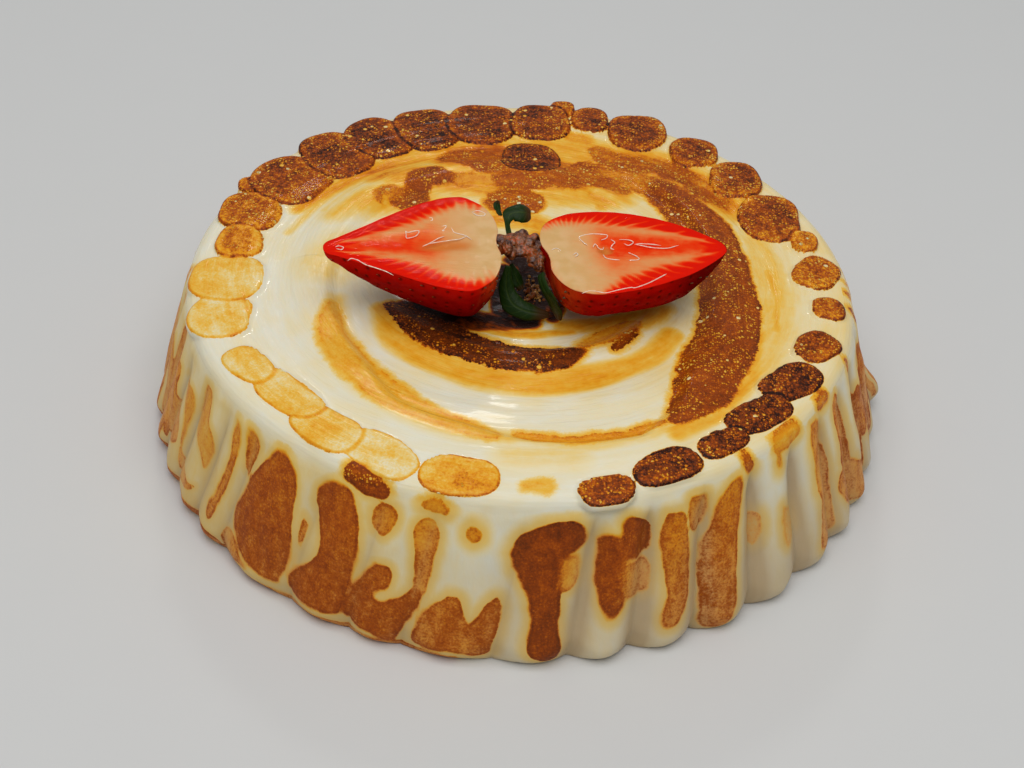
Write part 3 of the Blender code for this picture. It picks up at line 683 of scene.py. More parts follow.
def outline_distance(u, v, outline):
    """Millimetres inside a closed smooth outline, negative outside."""
    path = smooth_path(list(outline) + [outline[0]], 3)
    nearest = np.full(u.shape, 1000.0)
    inside = np.zeros(u.shape, bool)
    for (u0, v0), (u1, v1) in zip(path, path[1:]):
        du, dv = u1 - u0, v1 - v0
        share = np.clip(((u - u0) * du + (v - v0) * dv) / max(du * du + dv * dv, 1e-9), 0.0, 1.0)
        nearest = np.minimum(nearest, np.hypot(u - u0 - share * du, v - v0 - share * dv))
        if dv != 0.0:
            inside ^= ((v0 > v) != (v1 > v)) & (u < u0 + du * (v - v0) / dv)
    return np.where(inside, nearest, -nearest)


def near(u, v, points, margin):
    """Which of the points lie near a stroke or an outline."""
    path = np.array(points, float)
    reach = margin + (path[:, 2].max() if path.shape[1] == 3 else 0.0)
    low = path[:, :2].min(0) - reach
    high = path[:, :2].max(0) + reach
    return (u > low[0]) & (u < high[0]) & (v > low[1]) & (v < high[1])


def side_streaks():
    """Toasted streaks down the ribs where no patch is listed, each with its own draw."""
    rng = random.Random(23)
    streaks = []
    for first, last, count in STREAK_ZONES:
        for number in range(count):
            angle = first + (last - first) * (number + rng.uniform(0.1, 0.9)) / count
            top = rng.uniform(30.0, 45.0)
            bottom = rng.uniform(3.0, 20.0)
            width = rng.uniform(1.4, 3.4)
            lean = rng.uniform(-1.0, 0.6)
            middle = 0.5 * (top + bottom)
            tone = rng.uniform(0.44, 0.66)
            points = (
                (angle + lean, top, 0.35 * width), (angle + 0.4 * lean, middle + 4, width),
                (angle, middle - 4, 1.15 * width), (angle - 0.3 * lean, bottom, 0.6 * width))
            streaks.append((tone, points))
    return streaks


def paint_patches(u, v, patches, inside, toast, weight):
    """Work a list of crisp patches into running arrays of distance, toast and weight."""
    blend = 1.0
    for tone, points in patches:
        mask = near(u, v, points, 6.0)
        measure = stroke_distance if len(points[0]) == 3 else outline_distance
        distance = measure(u[mask], v[mask], points)
        share = np.exp(np.clip(distance, -12, 12) / blend)
        toast[mask] += tone * share
        weight[mask] += share
        inside[mask] = np.maximum(inside[mask], distance)


def coat_paint(points):
    """Toasting of the coat at each point: patches, soft toasting and pips, and painted shade in the
    creases, low on the side and under and between the berries, as named arrays.
    """
    x, y, z = (points[:, axis] / MM for axis in range(3))
    radius = np.hypot(x, y)
    angle = np.degrees(np.arctan2(y, x))
    count = len(x)
    inside = np.full(count, -6.0)
    toast = np.full(count, 1e-9)
    weight = np.full(count, 2e-9)
    on_top = (z > 44.0) & (radius < 96.0)
    top_x = np.where(on_top, x, 999.0)
    paint_patches(top_x, y, TOP_PATCHES, inside, toast, weight)
    side_u = np.where(on_top & (radius < 92.0), 9999.0, angle * SIDE_MM_PER_DEGREE)
    full_turn = 360.0 * SIDE_MM_PER_DEGREE
    for tone, stroke in list(SIDE_PATCHES) + side_streaks():
        scaled = tuple((a * SIDE_MM_PER_DEGREE, h, w) for a, h, w in stroke)
        paint_patches(side_u, z, [(tone, scaled)], inside, toast, weight)
        if max(a for a, _, _ in stroke) > 175.0:
            moved = tuple((a - full_turn, h, w) for a, h, w in scaled)
            paint_patches(side_u, z, [(tone, moved)], inside, toast, weight)
    for tone, outline in SIDE_OUTLINES:
        scaled = tuple((a * SIDE_MM_PER_DEGREE, h) for a, h in outline)
        paint_patches(side_u, z, [(tone, scaled)], inside, toast, weight)
    # Soft toasting, and painted shadow under and between the berries
    glow = np.zeros(count)
    for tone, blur, stroke in TOP_SOFT_TOAST_AND_SHADE:
        mask = near(top_x, y, stroke, blur)
        distance = stroke_distance(top_x[mask], y[mask], stroke)
        glow[mask] = np.maximum(glow[mask], tone * smoothstep(-blur, 0.6 * blur, distance))
    pip_inside = np.full(count, -6.0)
    pip_line = np.full(count, 6.0)
    pip_toast = np.full(count, 0.5)
    for number, pip in enumerate(PIPS):
        top = pip_top(x, y, number)
        painted = PIP_PAINT if pip[5] < 3 else 0.5 * PIP_PAINT
        distance = np.minimum(pip_distance(x, y, number), 2.0 * (z - top + painted))
        pip_line = np.where(distance > 0.0, distance, np.minimum(pip_line, -distance))
        pip_toast = np.where(distance > 0.0, pip[6], pip_toast)
        pip_inside = np.maximum(pip_inside, distance)
    foot_angle = angle - by_angle(RIB_LEAN, angle) * z / (CAKE_HEIGHT / MM)
    # Painted shade: darker down in the creases of the ribs, and low on the side, more so towards the
    # right
    valley = (crease_hollow(foot_angle) / 0.0020) ** 1.5 * smoothstep(44.0, 32.0, z)
    shaded = smoothstep(38.0, 4.0, z) * (0.36 + 0.30 * smoothstep(20.0, 70.0, x))
    on_side = smoothstep(46.0, 40.0, z)
    side_warmth = 0.02 + 0.15 * smoothstep(5.0, -60.0, x) + 0.05 * smoothstep(36.0, 8.0, z)
    warmth = 0.036 + 0.100 * smoothstep(-70.0, 50.0, 0.8 * x + 0.6 * y)
    warmth = warmth + on_side * (side_warmth - warmth)
    return {
        "soft": smoothstep(22.0, 40.0, y) * (1.0 - on_side) * smoothstep(70.0, 50.0, x),
        "warmth": warmth, "valley": np.clip(valley + shaded, 0.0, 1.0),
        "patch_inside": inside, "patch_toast": toast / weight, "glow": glow,
        "pip_inside": pip_inside, "pip_line": pip_line, "pip_toast": pip_toast,
        "side": 1.0 - smoothstep(41.0, 45.0, z),
    }


def coat_rings(columns, side_rings):
    """Rings of points from the middle of the top to the foot, each with its own count."""
    rings = []
    spread = [(90, 0.9, 11.0, 12), (180, 11.0, 22.0, 12), (360, 22.0, 44.0, 24)]
    for count, start, end, number in spread:
        for radius in np.linspace(start, end, number, endpoint=False):
            rings.append((count * columns // 720, "top", radius))
    for radius in np.linspace(44.0, 80.0, 40, endpoint=False):
        rings.append((columns, "top", radius))
    shoulder = [(80.0, 46.5), (86.0, 46.5), (90.0, 46.45), (92.0, 46.2), (93.6, 45.4),
                (94.7, 44.2), (95.4, 43.0), (side_radius(0.041) / MM, 41.0)]
    path = smooth_path(shoulder, 12)
    lengths = np.concatenate([[0.0], np.cumsum(np.hypot(*np.diff(path, axis=0).T))])
    for length in np.linspace(0.0, lengths[-1], 27, endpoint=False):
        place = (np.interp(length, lengths, path[:, 0]), np.interp(length, lengths, path[:, 1]))
        rings.append((columns, "shoulder", place))
    for height in np.linspace(41.0, 0.0, side_rings):
        rings.append((columns, "side", height))
    return rings


def coat_ring_points(count, kind, value):
    """One ring of the coat, in metres."""
    foot_angle = -180.0 + 360.0 * np.arange(count) / count
    lean = by_angle(RIB_LEAN, foot_angle)
    if kind == "side":
        height = np.full(count, value * MM)
        radius = ribbed_radius(side_radius(height), foot_angle, height)
        angle = np.radians(foot_angle + lean * height / CAKE_HEIGHT)
        return np.stack([radius * np.cos(angle), radius * np.sin(angle), height], axis=1)
    degrees = foot_angle + lean * TOP_Z / CAKE_HEIGHT
    angle = np.radians(degrees)
    if kind == "top":
        radius = np.full(count, value * MM)
        height = top_height(degrees, radius) / MM
        x, y = value * np.cos(angle), value * np.sin(angle)
        height = pips_on_top(x, y, height)
        return np.stack([x, y, height], axis=1) * MM
    start_radius, start_height = value
    lean_part = np.interp(start_height, (41.0, 46.5), (41.0 / 48.0, TOP_Z / CAKE_HEIGHT))
    angle = np.radians(foot_angle + lean * lean_part)
    height = np.full(count, start_height * MM)
    radius = ribbed_radius(np.full(count, start_radius * MM), foot_angle, height) / MM
    base = start_height + (top_height(degrees, radius * MM) - TOP_Z) / MM
    out, up = start_radius - 80.0, start_height - 38.0
    length = math.hypot(out, up)
    out, up = out / length, up / length
    x, y = radius * np.cos(angle), radius * np.sin(angle)
    reach = pips_past_rim(x, y, base, out * np.cos(angle), out * np.sin(angle), up)
    x, y = x + reach * out * np.cos(angle), y + reach * out * np.sin(angle)
    return np.stack([x, y, base + reach * up], axis=1) * MM


def ring_faces(starts, counts):
    """Faces between rings, where a ring may have twice the count of the one inside it."""
    faces = []
    for ring in range(len(counts) - 1):
        inner, outer = starts[ring], starts[ring + 1]
        few, many = counts[ring], counts[ring + 1]
        if few == many:
            for i in range(few):
                j = (i + 1) % few
                faces.append((inner + i, outer + i, outer + j, inner + j))
            continue
        for i in range(few):
            j = (i + 1) % few
            first, middle, last = 2 * i, 2 * i + 1, (2 * i + 2) % many
            faces.append((inner + i, outer + first, outer + middle))
            faces.append((inner + i, outer + middle, inner + j))
            faces.append((inner + j, outer + middle, outer + last))
    return faces


def roughen_coat(points, streak_depth):
    """Knife streaks on the top, and soft lumps and upright drags on the side."""
    x, y, z = points[:, 0], points[:, 1], points[:, 2]
    radius = np.hypot(x, y)
    angle = np.arctan2(y, x)
    top_share = smoothstep(0.0455, 0.0462, z) * (1.0 - smoothstep(0.083, 0.089, radius))
    spiral = radius + 0.004 * angle / math.pi
    streak_points = np.stack([radius / 0.0016, 1.3 * np.cos(angle), 1.3 * np.sin(angle)], axis=1)
    streaks = lumps(streak_points, 1.0, 1.0, 3.0)
    streaks = streaks + 0.5 * lumps(streak_points * (2.3, 2, 2), 1.0, 1.0, 8.0)
    swell_points = np.stack([spiral, 0.02 * np.cos(angle), 0.02 * np.sin(angle)], axis=1)
    swell = lumps(swell_points, 0.009, 1.0, 5.0)
    points[:, 2] += top_share * (streak_depth * streaks + TOP_SWELL * swell)
    side_share = 1.0 - smoothstep(0.040, 0.045, z)
    side_share = side_share * smoothstep(0.0, 0.004, z)
    drag_points = np.stack([x / 0.0042, y / 0.0042, z / 0.022], axis=1)
    drags = lumps(drag_points, 1.0, 1.0, 1.0)
    lump = lumps(points, 0.011, 1.0, 9.0)
    push = side_share * (SIDE_DRAG * drags + SIDE_LUMP * lump - SIDE_TRIM)
    points[:, 0] += push * np.cos(angle)
    points[:, 1] += push * np.sin(angle)
    return points


def meringue_material(settings):
    """Cream meringue that toasts through yellow, golden and brown to near black."""
    sh = Shader("toasted_meringue")
    here = sh.place()
    fine = sh.grain(0.0006, here, 3.0, 0.65)
    mid = sh.grain(0.0024, here, 3.0, 0.6)
    broad = sh.grain(0.0110, here, 2.0)
    soft = sh.grain(0.0170, here, 1.0)
    drag = sh.grain(0.0026, sh.place((1.0, 1.0, 0.16)), 3.0, 0.55)
    spin = sh.grain(1.0, sh.sweep(0.0026, 5.0), 3.0, 0.55)
    thread = sh.grain(1.0, sh.sweep(0.0009, 7.0), 2.0, 0.5)
    side = sh.attribute("side")
    top = sh.math("SUBTRACT", 1.0, side)

    even = sh.fade(side, 0.0, 1.0, 2.2, 0.7)
    jitter = sh.math("ADD", sh.centred(broad, 3.4), sh.math("MULTIPLY", sh.centred(mid, 1.0), even))
    jitter = sh.math("ADD", jitter, sh.math("MULTIPLY", sh.centred(fine, 0.8), top))
    inside = sh.math("ADD", sh.attribute("patch_inside"), jitter)
    blur = sh.fade(soft, 0.40, 0.68, 0.22, 1.0)
    blur = sh.math("ADD", blur, sh.attribute("soft"))
    patch = sh.fade(inside, sh.math("MULTIPLY", blur, -1.0), blur)
    halo_reach = sh.fade(side, 0.0, 1.0, -3.0, -5.6)
    halo_tone = sh.fade(side, 0.0, 1.0, 0.34, 0.25)
    halo = sh.fade(inside, halo_reach, 0.0, 0.0, halo_tone)
    edge = sh.fade(sh.math("ABSOLUTE", sh.math("SUBTRACT", inside, 0.4)), 0.1, 0.8, 0.06, 0.0)
    streaky = sh.math("ADD", sh.math("MULTIPLY", sh.centred(spin, 0.5), top),
                      sh.math("MULTIPLY", sh.centred(drag, 0.42), side))
    mottle = sh.math("ADD", sh.centred(mid, 0.34), sh.centred(fine, 0.30))
    mottle = sh.math("ADD", mottle, sh.math("MULTIPLY", streaky, 0.7))
    patch_tone = sh.math("ADD", sh.attribute("patch_toast"), sh.math("MULTIPLY", mottle, 0.8))
    patch_tone = sh.math("ADD", patch_tone, edge)
    # Soft toasting, with the shadow under and between the berries painted in as dark tone
    glow = sh.attribute("glow")
    swing = sh.math("ADD", sh.centred(spin, 1.1), sh.centred(mid, 0.5))
    glow = sh.math("MULTIPLY", glow, sh.math("ADD", 1.0, swing))
    warmth = sh.math("ADD", sh.attribute("warmth"), sh.math("MULTIPLY", streaky, 0.28))
    warmth = sh.math("ADD", warmth, sh.centred(broad, 0.16))
    base_tone = sh.math("MAXIMUM", sh.math("MAXIMUM", glow, halo), warmth)
    darker = sh.math("SUBTRACT", patch_tone, base_tone)
    tone = sh.math("ADD", base_tone, sh.math("MULTIPLY", patch, darker))

    pip_jitter = sh.math("ADD", sh.centred(fine, 0.35), sh.centred(mid, 0.45))
    pip_inside = sh.math("ADD", sh.attribute("pip_inside"), pip_jitter)
    pip_toast = sh.attribute("pip_toast")
    pip = sh.fade(pip_inside, -0.15, 0.20)
    pip_line = sh.math("ADD", sh.attribute("pip_line"), sh.centred(fine, 0.3))
    outline = sh.fade(pip_line, 0.1, 0.7, 0.18, 0.0)
    ring = sh.math("MULTIPLY", sh.fade(pip_line, 0.4, 1.0), sh.fade(pip_line, 1.0, 3.4, 1.0, 0.0))
    web = sh.node("ShaderNodeTexVoronoi", Vector=here, Scale=900.0, Randomness=1.0)
    web = sh.fade(web.outputs["Distance"], 0.20, 0.62, -0.04, 0.10)
    web = sh.math("MULTIPLY", web, sh.fade(pip_toast, 0.4, 0.7))
    uneven = sh.math("MULTIPLY", mottle, sh.fade(pip_toast, 0.35, 0.7, 0.9, 1.3))
    uneven = sh.math("ADD", uneven, sh.centred(broad, 0.44))
    pip_tone = sh.math("ADD", sh.math("ADD", pip_toast, uneven), web)
    pip_tone = sh.math("ADD", pip_tone, sh.math("MULTIPLY", ring, -0.13))
    pip_tone = sh.math("ADD", pip_tone, sh.math("MULTIPLY", outline, pip_toast))
    tone = sh.math("ADD", tone, sh.math("MULTIPLY", pip, sh.math("SUBTRACT", pip_tone, tone)))

    browned = sh.fade(tone, 0.48, 0.66)
    on_toast = sh.math("MULTIPLY", browned, sh.math("MAXIMUM", patch, pip))
    crowd = sh.fade(sh.grain(0.0052, here, 2.0), 0.38, 0.60, 0.35, 1.0)
    small = sh.math("MULTIPLY", sh.flecks(0.00058, 0.05, 0.52), 0.75)
    crumbs = sh.math("MAXIMUM", small, sh.flecks(0.00092, 0.30, 0.50))
    crumbs = sh.math("MULTIPLY", sh.math("MULTIPLY", crumbs, crowd), sh.fade(side, 0.0, 1.0, 0.42, 0.08))
    flakes = sh.math("MULTIPLY", sh.flecks(0.00210, 0.82, 0.40), sh.fade(side, 0.0, 1.0, 0.58, 0.0))
    lighter = sh.math("MULTIPLY", sh.math("MAXIMUM", crumbs, flakes), on_toast)
    tone = sh.math("MAXIMUM", sh.math("SUBTRACT", tone, lighter), 0.0)
    surface = sh.ramp(tone, (
        (0.0, settings.cream), (1.0, settings.burnt), (0.10, (0.86, 0.73, 0.43)),
        (0.20, settings.yellow), (0.30, (0.87, 0.50, 0.065)), (0.42, settings.golden),
        (0.52, (0.76, 0.25, 0.008)), (0.60, (0.58, 0.135, 0.004)), (0.68, (0.42, 0.078, 0.003)),
        (0.76, settings.brown), (0.86, (0.17, 0.032, 0.004))))
    # Painted shade: creases and the lower side are mixed towards the shade colours, less where toasted
    shade = sh.math("MULTIPLY", sh.attribute("valley"), sh.fade(tone, 0.10, 0.5, 0.90, 0.40))
    surface = sh.mix(shade, surface, sh.mix(browned, rgba(settings.shade), (0.20, 0.06, 0.012, 1.0)))

    relief = sh.math("MULTIPLY", sh.math("ADD", fine, sh.math("MULTIPLY", lighter, 2.5)), browned)
    relief = sh.math("ADD", relief, sh.math("MULTIPLY", mid, 0.30))
    relief = sh.math("ADD", relief, sh.math("MULTIPLY", thread, top))
    relief = sh.math("ADD", relief, sh.math("MULTIPLY", drag, sh.math("MULTIPLY", side, 1.1)))
    rough = sh.math("ADD", sh.fade(side, 0.0, 1.0, 0.20, 0.42), sh.centred(mid, 0.16))
    rough = sh.math("ADD", rough, sh.math("MULTIPLY", browned, 0.12))
    wet = sh.fade(tone, 0.14, 0.36, 0.20, 0.04)
    sh.surface.inputs["Specular IOR Level"].default_value = 0.10
    return sh.finish(
        Base_Color=surface, Roughness=rough, Normal=sh.bump(relief, 0.00030, 0.8),
        Subsurface_Weight=0.10, Subsurface_Scale=0.003, Subsurface_Radius=(1.0, 0.7, 0.45),
        Coat_Weight=wet, Coat_Roughness=0.06)


class CAKE_OT_meringue_coat(bpy.types.Operator):
    """Make the meringue coat with its ribs, knife ridges and toasted pips"""
    bl_idname = "cake.meringue_coat"
    bl_label = "Meringue coat"

    def execute(self, context):
        settings = context.scene.meringue
        blocks, counts, starts = [np.array([[0.0, 0.0, TOP_Z]])], [], []
        start = 1
        for count, kind, value in coat_rings(settings.columns, settings.side_rings):
            block = coat_ring_points(count, kind, value)
            blocks.append(block)
            counts.append(count)
            starts.append(start)
            start += count
        blocks.append(np.array([[0.0, 0.0, 0.0]]))
        points = roughen_coat(np.vstack(blocks), settings.streak_depth)
        faces = ring_faces(starts, counts)
        faces += [(0, starts[0] + i, starts[0] + (i + 1) % counts[0]) for i in range(counts[0])]
        last, rim = starts[-1], counts[-1]
        faces += [(start, last + (i + 1) % rim, last + i) for i in range(rim)]
        mesh = mesh_from("meringue_coat", points, faces, coat_paint(points))
        new_piece("meringue_coat", mesh, ("meringue_cake",), meringue_material(settings))
        return {"FINISHED"}


# The strawberry halves

# Each half: its half width by place from stem end to tip, then where its stem end lies, in
# metres, its bearing in degrees, the slant of its stem end, and how far its middle bows in metres
BERRIES = {
    "left": (
        ((0.0, 0.0), (0.0008, 0.0090), (0.0024, 0.0150), (0.0050, 0.0190), (0.0100, 0.0224),
         (0.0180, 0.0206), (0.0265, 0.0160), (0.0360, 0.0098), (0.0445, 0.0045), (0.0470, 0.0031),
         (0.0482, 0.0017), (0.0485, 0.0)),
        Vector((-0.0058, -0.0145, 0.0668)), 189.0, -0.03, -0.0012),
    "right": (
        ((0.0, 0.0), (0.0008, 0.0080), (0.0026, 0.0135), (0.0060, 0.0172), (0.0130, 0.0194),
         (0.0245, 0.0182), (0.0360, 0.0138), (0.0430, 0.0093), (0.0480, 0.0050), (0.0500, 0.0028),
         (0.0508, 0.0014), (0.0510, 0.0)),
        Vector((0.0059, -0.0180, 0.0652)), 10.8, 0.08, 0.0018),
}
# Depth of the skin against the half width, towards the stem end and at the tip
BERRY_DEPTH = (0.88, 1.30)
# Where the seeds begin along the outline, from the middle of the stem end, in metres
SEED_START = 0.0150
BERRY_RINGS = 170
SKIN_STEPS = 100
CUT_STEPS = 100
# Middle line of the core across the cut face by place along the berry, in millimetres
CORE_LINE = {"left": {8: 1.0, 20: 1.0, 44: 0.0}, "right": {10: 4.6, 20: 2.8, 37: 1.2, 50: 0.0}}
# Depth of the red rim by share of the length from the stem end, in millimetres
RIM_DEPTH = {0.0: -1.5, 0.04: -0.6, 0.10: 2.4, 0.25: 6.0, 0.5: 8.4, 0.75: 7.4, 1.0: 6.0}
# Raised edges of the wet film on the cut faces, coloured pale as painted glints, as x and y on the cake,
# in millimetres
JUICE_LINES = {
    "left": (
        ((-32.4, -11.7), (-31.5, -12.4), (-28.8, -11.3), (-29.2, -13.8), (-31.6, -15.2),
         (-32.0, -13.3), (-32.4, -11.7)),
        ((-22.6, -8.5), (-21.4, -8.1), (-21.7, -9.5), (-22.3, -10.7), (-21.5, -10.3)),
        ((-20.1, -8.5), (-19.1, -10.9), (-17.9, -11.6), (-15.8, -12.4), (-14.0, -14.1)),
        ((-27.1, -18.6), (-25.4, -17.1), (-23.2, -14.5), (-21.5, -13.3)),
        ((-25.3, -17.1), (-22.5, -16.0), (-19.5, -14.9), (-17.2, -14.1), (-15.3, -12.4)),
        ((-14.8, -0.6), (-13.1, 0.2), (-11.2, -0.8), (-11.4, -2.2), (-13.3, -2.1), (-14.8, -0.6)),
        ((-50.4, -21.3), (-49.5, -20.7), (-48.2, -21.3), (-48.7, -22.4), (-50.1, -22.0)),
        ((-26.4, -4.8), (-25.6, -4.7), (-25.4, -5.8), (-26.0, -6.2)),
        ((-46.4, -27.3), (-45.5, -26.2), (-43.7, -26.8), (-41.4, -28.6), (-38.6, -29.8),
         (-35.8, -31.1), (-33.6, -32.7)),
    ),
    "right": (
        ((17.7, -11.2), (16.5, -9.9), (15.3, -7.7), (16.5, -6.5), (18.8, -5.6), (21.4, -5.5),
         (23.1, -5.8), (22.8, -7.3), (21.4, -8.3)),
        ((19.2, -11.9), (19.8, -10.4), (20.8, -12.3), (21.8, -12.8), (22.1, -11.6)),
        ((24.1, -7.7), (25.2, -9.0), (24.6, -10.2), (24.1, -12.0), (25.0, -12.5)),
        ((26.4, -7.5), (29.0, -7.5), (30.3, -8.5), (29.0, -10.1), (27.7, -9.3)),
        ((30.6, -9.3), (32.9, -9.9), (35.5, -10.5), (39.5, -10.4), (42.8, -8.6)),
        ((31.0, -9.0), (34.6, -8.9), (37.9, -9.2)),
        ((21.9, -15.0), (22.7, -16.7), (24.4, -17.2), (26.6, -17.3)),
        ((28.8, -13.5), (29.9, -14.2), (31.2, -15.2), (31.8, -16.3), (30.8, -16.9), (28.9, -17.1)),
        ((7.8, -14.5), (9.1, -13.5), (10.5, -14.5)),
        ((13.8, -16.2), (14.6, -15.2), (15.1, -16.0), (14.3, -17.0)),
        ((16.4, -33.6), (18.0, -32.4), (19.9, -32.2), (21.5, -32.6), (23.0, -32.6), (26.2, -31.0),
         (29.4, -29.6), (30.6, -29.6), (34.2, -27.1), (37.5, -24.0), (39.1, -22.4)),
    ),
}
# Radius of those edges, and their drop from the height of the stem end, in metres
JUICE_RADIUS = 0.00012
JUICE_DROP = 0.00020


def even_outline(points, count):
    """The berry's outline, spaced evenly along its curve."""
    path = smooth_path(points, 16)
    path[:, 1] = np.maximum(path[:, 1], 0.0)
    lengths = np.concatenate([[0.0], np.cumsum(np.hypot(*np.diff(path, axis=0).T))])
    places = np.linspace(0.0, lengths[-1], count)
    return np.stack([np.interp(places, lengths, path[:, column]) for column in range(2)], axis=1)


def berry_place(local, side):
    """Bend a point set of the straight berry to its own form, and lay it on the cake."""
    stations, stem_end, bearing, slant, bow = BERRIES[side]
    length = stations[-1][0]
    x, y, z = local[:, 0].copy(), local[:, 1].copy(), local[:, 2].copy()
    share = x / length
    depth = BERRY_DEPTH[0] + (BERRY_DEPTH[1] - BERRY_DEPTH[0]) * smoothstep(0.35, 0.95, share)
    z = z * depth
    dent = 0.0014 * np.exp(-(y ** 2 + 0.2 * z ** 2) / 0.0042 ** 2) * (1.0 - smoothstep(0.0, 0.012, x))
    x = x + dent - slant * y * (1.0 - share)
    y = y + bow * np.sin(np.pi * np.clip(share, 0.0, 1.0))
    turn = math.radians(bearing)
    return np.stack([
        stem_end.x + x * math.cos(turn) - y * math.sin(turn),
        stem_end.y + x * math.sin(turn) + y * math.cos(turn),
        stem_end.z + z], axis=1)


def seed_places(side, spacing):
    """Places of the seeds on the straight berry's skin, in staggered rows."""
    outline = even_outline(BERRIES[side][0], 200)
    lengths = np.concatenate([[0.0], np.cumsum(np.hypot(*np.diff(outline, axis=0).T))])
    rng = random.Random(side)
    places = []
    row = 0
    at = SEED_START
    while at < lengths[-1] - 0.0015:
        place = np.interp(at, lengths, outline[:, 0])
        width = np.interp(at, lengths, outline[:, 1])
        count = max(2, round(math.pi * width / (spacing * 1.05)))
        for number in range(count):
            angle = math.pi * (number + 0.5 + 0.5 * (row % 2) - 0.25) / count
            angle += rng.uniform(-0.07, 0.07)
            jog = rng.uniform(-0.0003, 0.0003)
            places.append((place + jog, width * math.cos(angle), -width * math.sin(angle)))
        at += spacing * 0.92
        row += 1
    return np.array(places)


def face_marks(side, x, y, half_width, from_edge):
    """Redness, cream and core hollow of a cut face at points in millimetres."""
    share = x * MM / BERRIES[side][0][-1][0]
    middle = by_angle(CORE_LINE[side], x)
    above = (y - middle) / np.maximum(half_width - middle, 0.5)
    below = (middle - y) / np.maximum(half_width + middle, 0.5)
    away = np.maximum(above, below)
    wander = lumps(np.stack([x, y, 0.0 * x], axis=1), 4.5, 1.0, 3.0)
    reach = by_angle(RIM_DEPTH, share) + 1.0 * wander
    if side == "right":
        cream_edge = smoothstep(0.0, 3.0, -y) * (1.0 - smoothstep(0.16, 0.40, share))
        reach = reach * (1.0 - 0.95 * cream_edge)
    bearing = np.degrees(np.arctan2(np.abs(y - middle), x - 0.16 * x.max()))
    spacing = 7.4 if side == "left" else 6.8
    rays = 0.5 + 0.5 * np.cos(2.0 * np.pi * (bearing / spacing + 0.25 * wander + 0.2))
    rim = 1.0 - smoothstep(reach - 4.4, reach + 2.8, from_edge + 0.6 * rays)
    rim = rim * (1.0 - 0.36 * rays ** 5 * smoothstep(0.6, 2.6, from_edge))
    start = 0.26 if side == "left" else 0.22
    spread = 0.44 if side == "left" else 0.60
    core = np.exp(-(away / spread) ** 2) * smoothstep(start, start + 0.16, share)
    tip = smoothstep(0.68, 0.96, share)
    line = np.exp(-((away - 0.43) / 0.11) ** 2) * smoothstep(0.34, 0.55, share)
    line = line * (1.0 - smoothstep(0.88, 1.0, share))
    red = np.maximum(np.maximum(rim, 0.66 * core), 0.88 * tip) * (1.0 - 0.55 * line)
    cream = (1.0 - smoothstep(0.08, 0.32, share)) * (1.0 - rim)
    if side == "left":
        hollow = np.exp(-((x - 15.0) / 7.5) ** 4 - ((y - 1.0) / 2.6) ** 2)
    else:
        hollow = np.exp(-(((x - 17.5) / 2.2) ** 2 + ((y - 0.8) / 2.0) ** 2) ** 2)
    return red, cream, hollow


